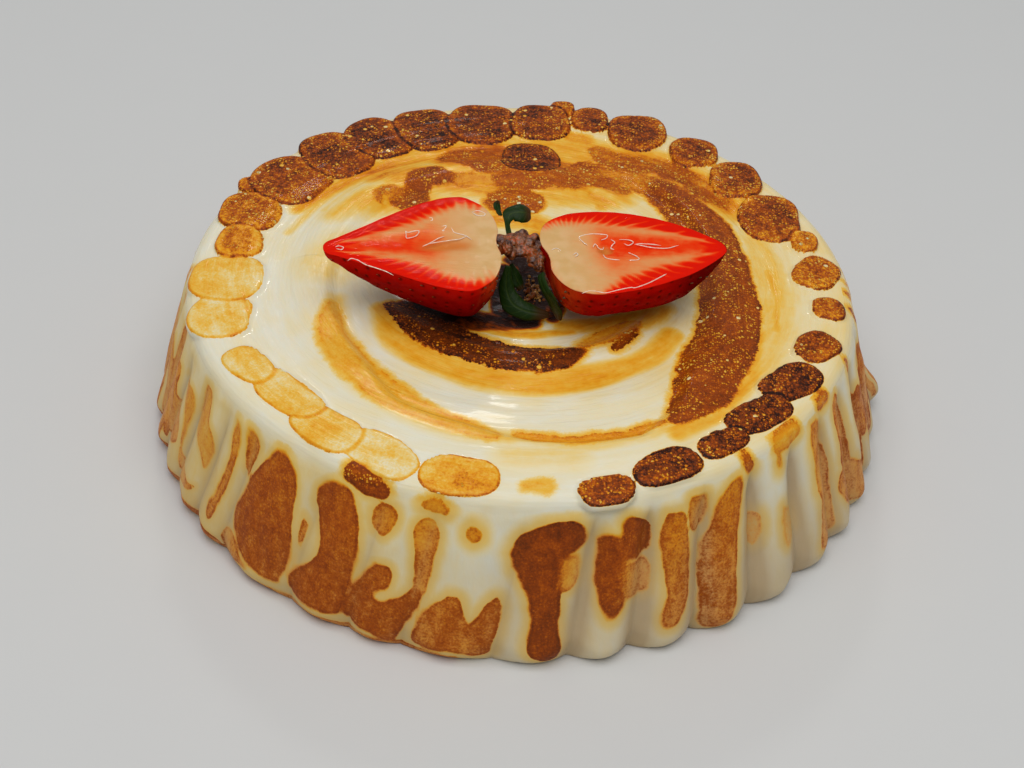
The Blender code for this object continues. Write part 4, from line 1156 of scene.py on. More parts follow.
def make_berry_mesh(side, settings):
    """Skin and cut face of one berry half as one closed mesh, and its seed points."""
    outline = even_outline(BERRIES[side][0], BERRY_RINGS)
    skin_angles = np.linspace(0.0, math.pi, SKIN_STEPS)
    shares = np.linspace(-1.0, 1.0, CUT_STEPS + 2)[1:-1]
    across = np.concatenate([np.cos(skin_angles), shares])
    under = np.concatenate([-np.sin(skin_angles), np.zeros(CUT_STEPS)])
    around = len(across)
    local = []
    for place, width in outline[1:-1]:
        ring = np.stack([np.full(around, place), width * across, width * under], axis=1)
        local.append(ring)
    local = np.vstack(local + [[[outline[0][0], 0, 0]], [[outline[-1][0], 0, 0]]])
    rings = len(outline) - 2
    faces = []
    for ring in range(rings - 1):
        for step in range(around):
            following = (step + 1) % around
            faces.append((
                ring * around + step, ring * around + following,
                (ring + 1) * around + following, (ring + 1) * around + step))
    stem, tip = rings * around, rings * around + 1
    for step in range(around):
        following = (step + 1) % around
        faces.append((stem, following, step))
        faces.append((tip, (rings - 1) * around + step, (rings - 1) * around + following))
    is_cut = np.tile(np.concatenate([np.zeros(SKIN_STEPS), np.ones(CUT_STEPS)]), rings)
    is_cut = np.concatenate([is_cut, [0.0, 0.0]])
    edge_line = np.vstack([outline, outline[::-1] * (1, -1)])
    flat = local[:, :2]
    from_edge = np.array([np.hypot(*(edge_line - p).T).min() for p in flat]) / MM
    depth_below = -local[:, 2] / MM
    from_edge = np.where(is_cut > 0.5, from_edge, -depth_below)
    seeds = seed_places(side, settings.seed_spacing)
    gap = np.full(len(local), 1.0)
    on_skin = is_cut < 0.5
    for seed in seeds:
        gap[on_skin] = np.minimum(gap[on_skin], np.linalg.norm(local[on_skin] - seed, axis=1) / MM)
    dimple = np.where(on_skin, np.exp(-(gap / 0.85) ** 2), 0.0)
    x, y = local[:, 0] / MM, local[:, 1] / MM
    half_width = np.interp(x, outline[:, 0] / MM, outline[:, 1] / MM)
    red, cream, hollow = face_marks(side, x, y, half_width, from_edge)
    front = y if side == "left" else -y
    pale = (1.0 - smoothstep(0.02, 0.20, x / x.max())) * smoothstep(-4.0, 6.0, front)
    # Painted shade on the skin: darker further below the cut face; on the right half weaker near the
    # stem end and strongest towards the tip
    sink = smoothstep(0.0, 12.0, depth_below)
    if side == "right":
        share = x / x.max()
        sink = 0.5 * sink * smoothstep(0.0, 0.55, share)
        sink = np.maximum(sink, 1.25 * smoothstep(0.55, 0.85, share) * on_skin)
    attributes = {
        "from_edge": from_edge, "red": red, "cream": cream, "hollow": hollow,
        "dimple": dimple, "pale": pale, "sink": sink,
    }
    points = berry_place(local, side)
    mesh = mesh_from(f"strawberry_{side}", points, faces, attributes)
    normals = np.zeros(len(points) * 3)
    mesh.vertices.foreach_get("normal", normals)
    normals = normals.reshape(-1, 3)
    below = smoothstep(0.0, 1.5, depth_below)
    inward = settings.dimple_depth * dimple * below
    swell = lumps(points, 0.0026, 0.00020, 2.0) * on_skin
    bulge = (swell - 0.00020 * on_skin) * (0.35 + 0.65 * below) - inward
    points = points + normals * bulge[:, None]
    cut = is_cut > 0.5
    ripple = lumps(np.stack([x / 2.6, y / 5.0, 0.0 * x], axis=1), 1.0, 0.00011, 4.0)
    core = np.exp(-((x - 0.42 * x.max()) / (0.22 * x.max())) ** 2 - ((y - 1.0) / 3.6) ** 2)
    relief = ripple - 0.00070 * core - 0.00022 - 0.00050 * hollow
    relief = relief - 0.00016 * red * smoothstep(1.0, 3.0, from_edge)
    points[cut, 2] += relief[cut]
    points[~cut & (depth_below < 0.05), 2] -= 0.00034
    mesh.vertices.foreach_set("co", points.ravel())
    mesh.update()
    return mesh, seeds


def strawberry_material(settings):
    """Wet red skin, and a cut face with a red rayed rim round pale flesh."""
    sh = Shader("strawberry")
    here = sh.place()
    from_edge = sh.attribute("from_edge")
    fine = sh.grain(0.0007, here, 3.0)
    mid = sh.grain(0.0030, here, 3.0)
    hair = sh.grain(0.0011, sh.place((0.25, 1.0, 1.0)), 2.0)
    red = sh.math("ADD", sh.attribute("red"), sh.centred(mid, 0.36))
    red = sh.math("ADD", red, sh.centred(hair, 0.16))
    face = sh.ramp(red, (
        (0.0, settings.flesh), (1.0, settings.rim), (0.20, (0.80, 0.28, 0.09)),
        (0.42, (0.86, 0.17, 0.040)), (0.62, (0.88, 0.050, 0.006)), (0.80, (0.84, 0.012, 0.002))))
    creamy = sh.math("MULTIPLY", sh.attribute("cream"), sh.fade(red, 0.1, 0.7, 1.0, 0.0))
    cloud = sh.fade(sh.grain(0.0050, here, 2.0), 0.34, 0.66)
    face = sh.mix(creamy, face, sh.mix(cloud, (0.68, 0.41, 0.16, 1.0), (0.74, 0.47, 0.22, 1.0)))
    hollow = sh.math("MULTIPLY", sh.attribute("hollow"), sh.fade(mid, 0.2, 0.5, 0.6, 1.0))
    face = sh.mix(hollow, face, (0.66, 0.19, 0.035, 1.0))
    dimple = sh.attribute("dimple")
    skin = sh.mix(sh.fade(mid, 0.35, 0.70), rgba(settings.skin), (0.46, 0.004, 0.002, 1.0))
    # Painted light: lighter red on the upper skin just below the cut edge
    skin = sh.mix(sh.fade(from_edge, -5.0, -0.5), skin, (0.56, 0.004, 0.001, 1.0))
    skin = sh.mix(sh.math("MULTIPLY", sh.attribute("pale"), sh.fade(mid, 0.3, 0.6, 0.3, 0.8)),
                  skin, (0.66, 0.075, 0.010, 1.0))
    # Painted shade: the skin is mixed towards dark red where it lies deeper below the cut face
    skin = sh.mix(sh.math("MULTIPLY", sh.attribute("sink"), 0.7), skin, (0.13, 0.002, 0.002, 1.0))
    # Painted shade: the pits round the seeds are darkened
    skin = sh.mix(sh.fade(dimple, 0.35, 1.0, 0.0, 0.85), skin, (0.07, 0.003, 0.001, 1.0))
    edge = sh.fade(from_edge, -0.20, 0.25)
    surface = sh.mix(edge, skin, face)
    relief = sh.math("ADD", sh.math("MULTIPLY", fine, 0.35), sh.math("MULTIPLY", hair, edge))
    rough = sh.math("ADD", sh.fade(edge, 0.0, 1.0, 0.15, 0.22), sh.math("MULTIPLY", fine, 0.10))
    sh.surface.inputs["Specular IOR Level"].default_value = 0.0
    return sh.finish(
        Base_Color=surface, Roughness=rough, Normal=sh.bump(relief, 0.00022, 0.6),
        Subsurface_Weight=0.05, Subsurface_Scale=0.002, Subsurface_Radius=(1.0, 0.3, 0.15),
        Coat_Weight=0.04, Coat_Roughness=0.04)


def tube_mesh(name, lines, radius, height):
    """Thin closed threads along level lines, thinning and thickening as they go."""
    points, faces = [], []
    sides = 6
    for number, line in enumerate(lines):
        path = smooth_path(line, 5) * MM
        first = len(points)
        for step, (x, y) in enumerate(path):
            before, after = path[max(step - 1, 0)], path[min(step + 1, len(path) - 1)]
            ahead = Vector((after[0] - before[0], after[1] - before[1], 0.0)).normalized()
            across = Vector((-ahead.y, ahead.x, 0.0))
            end = min(step, len(path) - 1 - step)
            thick = radius * min(1.0, 0.3 + 0.35 * end)
            thick *= 1.0 + 0.75 * noise.noise(Vector((1700 * x, 1700 * y, number)))
            for side in range(sides):
                turn = 2.0 * math.pi * side / sides
                point = Vector((x, y, height)) + across * thick * math.cos(turn)
                point.z += thick * math.sin(turn)
                points.append(point)
        for step in range(len(path) - 1):
            for side in range(sides):
                a = first + step * sides + side
                b = first + step * sides + (side + 1) % sides
                faces.append((a, b, b + sides, a + sides))
        last = first + (len(path) - 1) * sides
        faces.append(tuple(first + side for side in range(sides)))
        faces.append(tuple(last + side for side in reversed(range(sides))))
    return mesh_from(name, points, faces)


def juice_glint_material():
    """Clear wet film, its raised edges coloured pale all over as a painted glint."""
    sh = Shader("juice")
    return sh.finish(Base_Color=(0.95, 0.78, 0.62, 1.0), Roughness=0.08, Coat_Weight=0.5,
                     Coat_Roughness=0.03)


def seed_mesh():
    """One small teardrop seed, lying along X with its flat side down."""
    bm = bmesh.new()
    bmesh.ops.create_uvsphere(bm, u_segments=6, v_segments=4, radius=1.0)
    for vert in bm.verts:
        narrow = 1.0 - 0.35 * vert.co.x
        vert.co = Vector((vert.co.x * 0.62, vert.co.y * 0.40 * narrow, vert.co.z * 0.25)) * MM
    mesh = bpy.data.meshes.new("seed")
    bm.to_mesh(mesh)
    bm.free()
    mesh.shade_smooth()
    return mesh


def scatter_tree(name, shape, material):
    """Geometry Nodes that set a shape on every point, turned to the point's own facing."""
    tree = bpy.data.node_groups.new(name, "GeometryNodeTree")
    face = tree.interface
    face.new_socket("Geometry", in_out="INPUT", socket_type="NodeSocketGeometry")
    size = face.new_socket("Size", in_out="INPUT", socket_type="NodeSocketFloat")
    uneven = face.new_socket("Unevenness", in_out="INPUT", socket_type="NodeSocketFloat")
    seed = face.new_socket("Seed", in_out="INPUT", socket_type="NodeSocketInt")
    face.new_socket("Geometry", in_out="OUTPUT", socket_type="NodeSocketGeometry")
    nodes, link = tree.nodes, tree.links.new
    given = nodes.new("NodeGroupInput")
    result = nodes.new("NodeGroupOutput")
    points = nodes.new("GeometryNodeMeshToPoints")
    shape_info = nodes.new("GeometryNodeObjectInfo")
    shape_info.inputs["Object"].default_value = shape
    facing = nodes.new("GeometryNodeInputNamedAttribute")
    facing.data_type = "FLOAT_VECTOR"
    facing.inputs["Name"].default_value = "facing"
    heading = nodes.new("GeometryNodeInputNamedAttribute")
    heading.data_type = "FLOAT_VECTOR"
    heading.inputs["Name"].default_value = "heading"
    turn = nodes.new("FunctionNodeAxesToRotation")
    turn.primary_axis = "Z"
    turn.secondary_axis = "X"
    low = nodes.new("ShaderNodeMath")
    low.operation = "SUBTRACT"
    low.inputs[0].default_value = 1.0
    high = nodes.new("ShaderNodeMath")
    high.operation = "ADD"
    high.inputs[0].default_value = 1.0
    draw = nodes.new("FunctionNodeRandomValue")
    scale = nodes.new("ShaderNodeMath")
    scale.operation = "MULTIPLY"
    place = nodes.new("GeometryNodeInstanceOnPoints")
    real = nodes.new("GeometryNodeRealizeInstances")
    paint = nodes.new("GeometryNodeSetMaterial")
    paint.inputs["Material"].default_value = material
    link(given.outputs["Geometry"], points.inputs["Mesh"])
    link(points.outputs["Points"], place.inputs["Points"])
    link(shape_info.outputs["Geometry"], place.inputs["Instance"])
    link(facing.outputs["Attribute"], turn.inputs["Primary Axis"])
    link(heading.outputs["Attribute"], turn.inputs["Secondary Axis"])
    link(turn.outputs["Rotation"], place.inputs["Rotation"])
    link(given.outputs["Unevenness"], low.inputs[1])
    link(given.outputs["Unevenness"], high.inputs[1])
    link(low.outputs[0], draw.inputs[2])
    link(high.outputs[0], draw.inputs[3])
    link(given.outputs["Seed"], draw.inputs["Seed"])
    link(draw.outputs[1], scale.inputs[0])
    link(given.outputs["Size"], scale.inputs[1])
    link(scale.outputs[0], place.inputs["Scale"])
    link(place.outputs["Instances"], real.inputs["Geometry"])
    link(real.outputs["Geometry"], paint.inputs["Geometry"])
    link(paint.outputs["Geometry"], result.inputs["Geometry"])
    return tree, {"Size": size.identifier, "Unevenness": uneven.identifier, "Seed": seed.identifier}


def scatter(name, places, facing, heading, shape_mesh, material, values):
    """A plain mesh of one shape set on each place, made by the scatter tree."""
    carrier_mesh = bpy.data.meshes.new(name + "_points")
    carrier_mesh.from_pydata([tuple(p) for p in places], [], [])
    for key, vectors in (("facing", facing), ("heading", heading)):
        layer = carrier_mesh.attributes.new(key, "FLOAT_VECTOR", "POINT")
        layer.data.foreach_set("vector", np.asarray(vectors, np.float32).ravel())
    carrier = bpy.data.objects.new(name + "_points", carrier_mesh)
    shape = bpy.data.objects.new(name + "_shape", shape_mesh)
    bpy.context.scene.collection.objects.link(carrier)
    bpy.context.scene.collection.objects.link(shape)
    tree, sockets = scatter_tree(name + "_scatter", shape, material)
    modifier = carrier.modifiers.new("scatter", "NODES")
    modifier.node_group = tree
    for key, value in values.items():
        modifier[sockets[key]] = value
    graph = bpy.context.evaluated_depsgraph_get()
    mesh = bpy.data.meshes.new_from_object(carrier.evaluated_get(graph))
    mesh.name = name
    bpy.data.objects.remove(carrier)
    bpy.data.objects.remove(shape)
    return mesh


def seed_material(settings):
    """Shiny straw-brown seed."""
    sh = Shader("strawberry_seed")
    fine = sh.grain(0.0004, sh.place(), 2.0)
    surface = sh.mix(fine, rgba(settings.seed_colour), (0.07, 0.012, 0.004, 1.0))
    return sh.finish(Base_Color=surface, Roughness=0.3, Coat_Weight=0.4, Coat_Roughness=0.1)


class CAKE_OT_strawberry_halves(bpy.types.Operator):
    """Make both strawberry halves, with seeds in their skin and pale threads of wet film on their cut
    faces as painted glints
    """
    bl_idname = "cake.strawberry_halves"
    bl_label = "Strawberry halves"

    def execute(self, context):
        settings = context.scene.strawberry
        material = strawberry_material(settings)
        seed_finish = seed_material(settings)
        juice = juice_glint_material()
        for side in BERRIES:
            mesh, seeds = make_berry_mesh(side, settings)
            new_piece(f"strawberry_{side}", mesh, (f"strawberry_half_{side}",), material)
            low = seeds[seeds[:, 2] < -0.0012]
            along = low + np.array([0.0005, 0.0, 0.0])
            places = berry_place(low, side)
            heading = berry_place(along, side) - places
            away = low.copy()
            away[:, 0] = 0.0
            out = berry_place(low + away * 0.05, side) - places
            out = out - heading * (np.sum(out * heading, 1) / np.sum(heading ** 2, 1))[:, None]
            out /= np.linalg.norm(out, axis=1)[:, None]
            places = places - out * (settings.dimple_depth * 0.95 + 0.00050)
            seed_points = scatter(
                f"seeds_{side}", places, out, heading, seed_mesh(), seed_finish,
                {"Size": 1.0, "Unevenness": 0.15, "Seed": 5})
            new_piece(f"seeds_{side}", seed_points, ())
            height = BERRIES[side][1].z - JUICE_DROP
            film = tube_mesh(f"juice_{side}", JUICE_LINES[side], JUICE_RADIUS, height)
            new_piece(f"juice_{side}", film, (), juice)
        return {"FINISHED"}


# Leaves and stem ends

# The way each leaf faces, then x, y, z and half width along its middle, in millimetres
LEAVES = {
    "leaf_back": ((0.0, -0.5, 0.85), (
        (-3.5, -6.3, 60.6, 0.5), (-4.1, -2.2, 61.1, 0.6), (-4.8, 1.6, 62.0, 0.7),
        (-4.3, 4.2, 63.1, 2.2), (-2.2, 5.0, 63.6, 2.9), (0.2, 5.6, 63.2, 2.8),
        (1.5, 6.2, 62.4, 1.1))),
    "leaf_curl": ((0.6, -0.7, 0.4), (
        (-6.9, 4.5, 62.6, 0.5), (-7.5, 5.9, 63.2, 1.0), (-8.0, 7.2, 64.0, 1.1),
        (-7.7, 8.2, 65.0, 0.5))),
    "leaf_front": ((0.0, -0.77, 0.64), (
        (-3.6, -17.1, 60.8, 0.6), (-4.0, -18.6, 57.6, 1.5), (-3.7, -20.2, 54.6, 2.3),
        (-2.0, -22.4, 52.0, 2.9), (1.2, -23.4, 50.6, 2.6), (4.8, -23.4, 49.8, 1.9),
        (8.2, -22.9, 49.2, 0.6))),
    "leaf_inner": ((0.3, -0.75, 0.6), (
        (-3.0, -11.5, 57.5, 0.5), (-1.8, -13.0, 55.0, 1.5), (-0.7, -13.9, 53.0, 1.7),
        (0.3, -14.7, 51.2, 0.6))),
    "leaf_right": ((-0.6, -0.75, 0.3), (
        (5.2, -21.6, 61.8, 1.0), (5.6, -24.0, 61.0, 1.4), (6.7, -26.8, 60.2, 1.6),
        (8.2, -27.2, 57.8, 1.7), (9.2, -26.6, 55.0, 1.8), (10.2, -25.4, 51.8, 1.8),
        (10.8, -24.9, 49.5, 1.0))),
}
LEAF_STATIONS = 44
LEAF_ACROSS = 12
STEM_ENDS = {
    "stem_end_left": ((-4.3, -12.8, 63.8), (1.7, 2.6, 2.1)),
    "stem_end_right": ((4.6, -18.2, 62.4), (1.5, 2.1, 2.0)),
}


def leaf_mesh(name, facing, stations, thickness):
    """A cupped wavy leaf along a smooth line, thickened both ways."""
    facing = Vector(facing).normalized()
    path = smooth_path(stations, 10) * MM
    shares = np.linspace(0.0, 1.0, len(path))
    bm = bmesh.new()
    bmesh.ops.create_grid(bm, x_segments=LEAF_STATIONS, y_segments=LEAF_ACROSS, size=1.0)
    along_layer = bm.verts.layers.float.new("along")
    across_layer = bm.verts.layers.float.new("across")
    for vert in bm.verts:
        share, across = 0.5 * (vert.co.x + 1.0), vert.co.y
        at = [np.interp(share, shares, path[:, column]) for column in range(4)]
        ahead = [np.interp(min(1.0, share + 0.05), shares, path[:, column]) for column in range(3)]
        behind = [np.interp(max(0.0, share - 0.05), shares, path[:, column]) for column in range(3)]
        sideways = (Vector(ahead) - Vector(behind)).normalized().cross(facing).normalized()
        half_width = float(at[3])
        notch = 1.0 - 0.10 * abs(math.sin(13.0 * share)) * abs(across) ** 3
        cup = 0.30 * half_width * across * across
        wave = 0.00025 * math.sin(9.0 * share + 2.0 * across) * abs(across)
        fold = 0.00012 * math.exp(-(across / 0.16) ** 2)
        vert.co = Vector(at[:3]) + sideways * across * half_width * notch + facing * (wave - cup - fold)
        vert[along_layer] = share
        vert[across_layer] = across
    mesh = bpy.data.meshes.new(name)
    bm.to_mesh(mesh)
    bm.free()
    leaf = bpy.data.objects.new(name, mesh)
    bpy.context.scene.collection.objects.link(leaf)
    solid = leaf.modifiers.new("thickness", "SOLIDIFY")
    solid.thickness = thickness
    solid.offset = 0.0
    graph = bpy.context.evaluated_depsgraph_get()
    result = bpy.data.meshes.new_from_object(leaf.evaluated_get(graph))
    bpy.data.objects.remove(leaf)
    result.shade_smooth()
    return result


def leaf_material(settings):
    """Dark green leaf with paler veins and edges, browned at the tip."""
    sh = Shader("leaf")
    across = sh.math("ABSOLUTE", sh.attribute("across"))
    along = sh.attribute("along")
    fine = sh.grain(0.0006, sh.place(), 3.0)
    midrib = sh.fade(across, 0.03, 0.14, 1.0, 0.0)
    slope = sh.math("ADD", along, sh.math("MULTIPLY", across, 0.12))
    wave = sh.math("SINE", sh.math("MULTIPLY", slope, 60.0))
    veins = sh.math("MULTIPLY", sh.fade(wave, 0.80, 1.0), 0.5)
    border = sh.fade(across, 0.86, 0.98)
    light = sh.math("MAXIMUM", sh.math("MAXIMUM", midrib, veins), border)
    light = sh.math("MULTIPLY", light, sh.fade(fine, 0.2, 0.8, 0.2, 0.6))
    surface = sh.mix(light, rgba(settings.green), rgba(settings.pale))
    surface = sh.mix(sh.fade(along, 0.74, 0.92, 0.0, 0.8), surface, (0.07, 0.025, 0.008, 1.0))
    relief = sh.math("SUBTRACT", fine, light)
    sh.surface.inputs["Specular IOR Level"].default_value = 0.10
    return sh.finish(
        Base_Color=surface, Roughness=0.36, Normal=sh.bump(relief, 0.00015, 0.7),
        Coat_Weight=0.03, Coat_Roughness=0.10)


# Moist shreds of calyx and cream between the berries: centre, then half sizes, in millimetres
SHREDS = (
    ((-6.2, -8.0, 63.0), (1.8, 1.9, 1.0)), ((-5.0, -11.6, 62.6), (1.5, 2.0, 1.0)),
    ((-3.6, -7.4, 62.0), (1.8, 1.6, 1.2)), ((-2.9, -12.2, 61.4), (1.5, 2.0, 1.2)),
    ((-1.0, -5.6, 61.6), (1.7, 2.0, 1.3)), ((-0.4, -10.4, 61.4), (1.9, 2.0, 1.4)),
    ((1.4, -7.4, 61.2), (1.6, 1.9, 1.4)), ((2.6, -11.0, 60.8), (1.6, 1.8, 1.4)),
    ((3.0, -14.4, 60.8), (1.4, 1.7, 1.2)), ((5.0, -14.4, 62.0), (1.4, 1.3, 0.9)),
    ((4.8, -17.6, 61.6), (1.2, 2.2, 1.2)), ((0.2, -4.0, 60.6), (1.4, 1.8, 1.0)),
    ((-3.6, -4.2, 60.4), (1.7, 2.0, 1.3)), ((-0.6, -1.6, 60.0), (2.0, 2.2, 1.4)),
    ((2.6, -3.6, 60.2), (1.9, 2.4, 1.4)), ((4.6, -7.6, 60.4), (1.5, 2.4, 1.4)),
    ((5.6, -11.2, 60.8), (1.2, 2.2, 1.2)),
)
# Factor that swells each shred past its half sizes, and the grid that joins them, in metres
SHRED_FULLNESS = 1.12
SHRED_GRID = 0.00030
# Golden bits down between the berries: middle x, y, then spread, in millimetres
CRUMB_PLACE = (3.2, -9.5, 2.6, 4.6)
CRUMB_COUNT = 110
CRUMB_RADIUS = 0.85


def crumb_mesh():
    """One small angular crumb."""
    bm = bmesh.new()
    bmesh.ops.create_icosphere(bm, subdivisions=1, radius=1.0)
    for vert in bm.verts:
        vert.co = vert.co * (0.8 + 0.4 * noise.noise(vert.co * 3.0)) * CRUMB_RADIUS * MM
    mesh = bpy.data.meshes.new("crumb")
    bm.to_mesh(mesh)
    bm.free()
    return mesh


def crumb_material():
    """Golden caramel crumb."""
    sh = Shader("caramel_crumb")
    surface = sh.mix(sh.fade(sh.grain(0.0022, sh.place(), 1.0), 0.35, 0.65),
                     (0.30, 0.070, 0.006, 1.0), (0.80, 0.42, 0.09, 1.0))
    return sh.finish(Base_Color=surface, Roughness=0.35, Coat_Weight=0.1, Coat_Roughness=0.1)


def shred_mesh():
    """One crumpled mass from the overlapping shreds."""
    bm = bmesh.new()
    for centre, half_sizes in SHREDS:
        made = bmesh.ops.create_icosphere(bm, subdivisions=3, radius=1.0)["verts"]
        for vert in made:
            place = [c + SHRED_FULLNESS * h * p for c, h, p in zip(centre, half_sizes, vert.co)]
            vert.co = Vector(place) * MM
    mesh = bpy.data.meshes.new("shreds")
    bm.to_mesh(mesh)
    bm.free()
    carrier = bpy.data.objects.new("shreds", mesh)
    bpy.context.scene.collection.objects.link(carrier)
    remesh = carrier.modifiers.new("join", "REMESH")
    remesh.mode = "VOXEL"
    remesh.voxel_size = SHRED_GRID
    graph = bpy.context.evaluated_depsgraph_get()
    result = bpy.data.meshes.new_from_object(carrier.evaluated_get(graph))
    bpy.data.objects.remove(carrier)
    points = np.zeros(len(result.vertices) * 3)
    normals = np.zeros(len(points))
    result.vertices.foreach_get("co", points)
    result.vertices.foreach_get("normal", normals)
    points, normals = points.reshape(-1, 3), normals.reshape(-1, 3)
    folds = lumps(points * (0.5, 1.7, 1.0), 0.0008, 1.0, 6.0)
    push = lumps(points, 0.0017, 0.0006, 1.0) + 0.0004 * folds
    points = points + normals * push[:, None]
    result.vertices.foreach_set("co", points.ravel())
    result.update()
    result.shade_smooth()
    return result


def husk_material(settings):
    """Dried, moist brown stem end with paler threads."""
    sh = Shader("stem_end")
    fine = sh.grain(0.0007, sh.place(), 4.0, 0.65)
    mid = sh.grain(0.0036, sh.place(), 2.0)
    tone = sh.math("ADD", fine, sh.centred(mid, 0.9))
    surface = sh.ramp(tone, (
        (0.22, (0.012, 0.004, 0.002)), (0.86, (0.60, 0.15, 0.035)), (0.42, (0.08, 0.014, 0.003)),
        (0.58, settings.husk), (0.72, (0.44, 0.060, 0.008))))
    return sh.finish(
        Base_Color=surface, Roughness=0.30, Normal=sh.bump(fine, 0.0003, 0.6),
        Coat_Weight=0.18, Coat_Roughness=0.05)


class CAKE_OT_leaves(bpy.types.Operator):
    """Make the strawberry leaves"""
    bl_idname = "cake.leaves"
    bl_label = "Leaves"

    def execute(self, context):
        settings = context.scene.leaf
        material = leaf_material(settings)
        for name, (facing, stations) in LEAVES.items():
            mesh = leaf_mesh(f"{name}_blade", facing, stations, settings.thickness)
            new_piece(f"{name}_blade", mesh, (name,), material)
        return {"FINISHED"}


class CAKE_OT_stem_ends(bpy.types.Operator):
    """Make the dried stem ends of the strawberries, with the shreds and crumbs between them"""
    bl_idname = "cake.stem_ends"
    bl_label = "Stem ends"

    def execute(self, context):
        material = husk_material(context.scene.leaf)
        for name, (centre, half_sizes) in STEM_ENDS.items():
            bm = bmesh.new()
            bmesh.ops.create_icosphere(bm, subdivisions=5, radius=1.0)
            for vert in bm.verts:
                rough = noise.noise(vert.co * 2.2) * 0.16 + noise.noise(vert.co * 6.0) * 0.10
                vert.co = vert.co * (0.92 + rough)
            bmesh.ops.scale(bm, vec=[value * MM for value in half_sizes], verts=bm.verts)
            bmesh.ops.translate(bm, vec=[value * MM for value in centre], verts=bm.verts)
            mesh = bpy.data.meshes.new(f"{name}_husk")
            bm.to_mesh(mesh)
            bm.free()
            mesh.shade_smooth()
            new_piece(f"{name}_husk", mesh, (name,), material)
        new_piece("stem_shreds", shred_mesh(), (), material)
        x, y, spread_x, spread_y = CRUMB_PLACE
        rng = random.Random(4)
        places = []
        for _ in range(CRUMB_COUNT):
            across, along = rng.gauss(x, 0.6 * spread_x), rng.gauss(y, 0.6 * spread_y)
            places.append((across * MM, along * MM, rng.uniform(46.5, 47.1) * MM))
        facing = [(rng.uniform(-1, 1), rng.uniform(-1, 1), 0.8) for _ in places]
        heading = [(rng.uniform(-1, 1), rng.uniform(-1, 1), 0.0) for _ in places]
        crumbs = scatter("caramel_crumbs", places, facing, heading, crumb_mesh(), crumb_material(),
                         {"Size": 0.5, "Unevenness": 0.6, "Seed": 2})
        new_piece("caramel_crumbs", crumbs, ())
        return {"FINISHED"}


# The stage

CAMERA_PLACE = (0.001533, -0.396053, 0.331766)
CAMERA_RIGHT = (0.998223, 0.041558, 0.042696)
CAMERA_UP = (-0.059382, 0.635189, 0.770071)
CAMERA_AHEAD = (-0.004882, 0.771238, -0.636528)
LIGHT_AIM = (0.0, 0.0, 0.04)
# Square lights: size in metres, share of the set power, and place
LIGHTS = {
    "overhead": (1.3, 1.0, (0.0, -0.28, 1.25)),
    "glint": (0.14, 0.09, (-0.10, 0.97, 0.90)),
}
ROOM_LIGHT = 0.27


def add_light(name, size, power, place):
    """A soft square light aimed at the cake."""
    data = bpy.data.lights.new(name, "AREA")
    data.shape = "SQUARE"
    data.size = size
    data.energy = power
    light = bpy.data.objects.new(name, data)
    light.location = place
    light.rotation_euler = (Vector(LIGHT_AIM) - Vector(place)).to_track_quat("-Z", "Y").to_euler()
    bpy.context.scene.collection.objects.link(light)


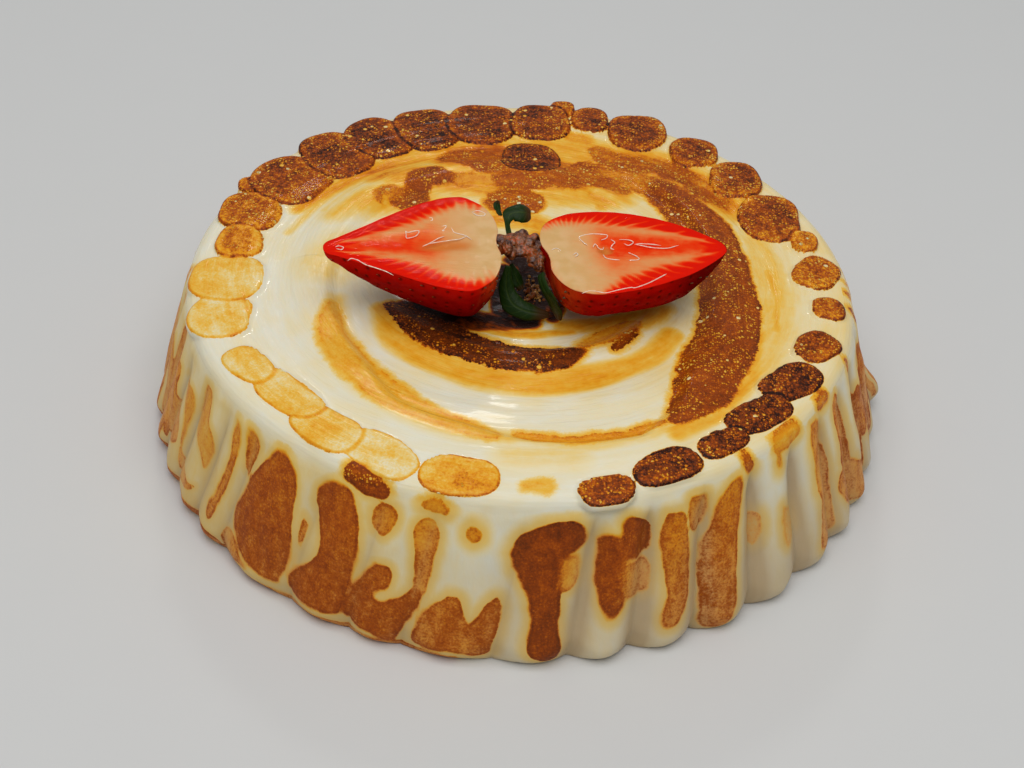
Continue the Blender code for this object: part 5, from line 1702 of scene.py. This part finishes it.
class CAKE_OT_stage(bpy.types.Operator):
    """Make the pale floor, the soft lights and the camera"""
    bl_idname = "cake.stage"
    bl_label = "Stage"

    def execute(self, context):
        settings = context.scene.stage
        bpy.ops.mesh.primitive_plane_add(size=8.0, location=(0.0, 1.0, -0.0002))
        floor = context.object
        floor.name = "floor"
        sh = Shader("pale_floor")
        fine = sh.grain(0.02, sh.place(), 2.0)
        pale = sh.mix(sh.math("MULTIPLY", fine, 0.05), rgba(settings.floor), (0.5, 0.5, 0.5, 1.0))
        floor.data.materials.append(sh.finish(Base_Color=pale, Roughness=0.8))
        world = bpy.data.worlds.new("soft_room")
        world.use_nodes = True
        background = world.node_tree.nodes["Background"]
        background.inputs["Color"].default_value = (0.95, 0.97, 1.0, 1.0)
        background.inputs["Strength"].default_value = ROOM_LIGHT
        context.scene.world = world
        for name, (size, share, place) in LIGHTS.items():
            add_light(name, size, share * settings.light_power, place)
        data = bpy.data.cameras.new("camera")
        data.sensor_width = 36.0
        data.lens = settings.lens
        data.clip_start = 0.01
        data.clip_end = 20.0
        camera = bpy.data.objects.new("camera", data)
        turn = Matrix((CAMERA_RIGHT, CAMERA_UP, [-value for value in CAMERA_AHEAD])).transposed()
        camera.matrix_world = Matrix.Translation(CAMERA_PLACE) @ turn.to_4x4()
        context.scene.collection.objects.link(camera)
        context.scene.camera = camera
        context.scene.view_settings.view_transform = "Standard"
        return {"FINISHED"}


class CAKE_PT_panel(bpy.types.Panel):
    """Lists what makes the cake, in order"""
    bl_label = "Meringue cake"
    bl_idname = "CAKE_PT_panel"
    bl_space_type = "VIEW_3D"
    bl_region_type = "UI"
    bl_category = "Meringue cake"

    def draw(self, context):
        layout = self.layout
        for group, operators in GROUPS:
            box = layout.box()
            settings = getattr(context.scene, group)
            for key in settings.__annotations__:
                box.prop(settings, key)
            for operator in operators:
                box.operator(operator.bl_idname)


GROUPS = (
    ("meringue", (CAKE_OT_meringue_coat,)),
    ("strawberry", (CAKE_OT_strawberry_halves,)),
    ("leaf", (CAKE_OT_leaves, CAKE_OT_stem_ends)),
    ("stage", (CAKE_OT_stage,)),
)
SETTINGS = {
    "meringue": MeringueSettings, "strawberry": StrawberrySettings,
    "leaf": LeafSettings, "stage": StageSettings,
}


def register():
    """Register the settings, the operators and the panel."""
    for key, group in SETTINGS.items():
        bpy.utils.register_class(group)
        setattr(bpy.types.Scene, key, PointerProperty(type=group))
    for _, operators in GROUPS:
        for operator in operators:
            bpy.utils.register_class(operator)
    bpy.utils.register_class(CAKE_PT_panel)


def unregister():
    """Take the panel, the operators and the settings out again."""
    bpy.utils.unregister_class(CAKE_PT_panel)
    for _, operators in GROUPS:
        for operator in operators:
            bpy.utils.unregister_class(operator)
    for key, group in SETTINGS.items():
        delattr(bpy.types.Scene, key)
        bpy.utils.unregister_class(group)


def main():
    register()
    bpy.ops.cake.stage()
    bpy.ops.cake.meringue_coat()
    bpy.ops.cake.strawberry_halves()
    bpy.ops.cake.leaves()
    bpy.ops.cake.stem_ends()


if __name__ == "__main__":
    main()
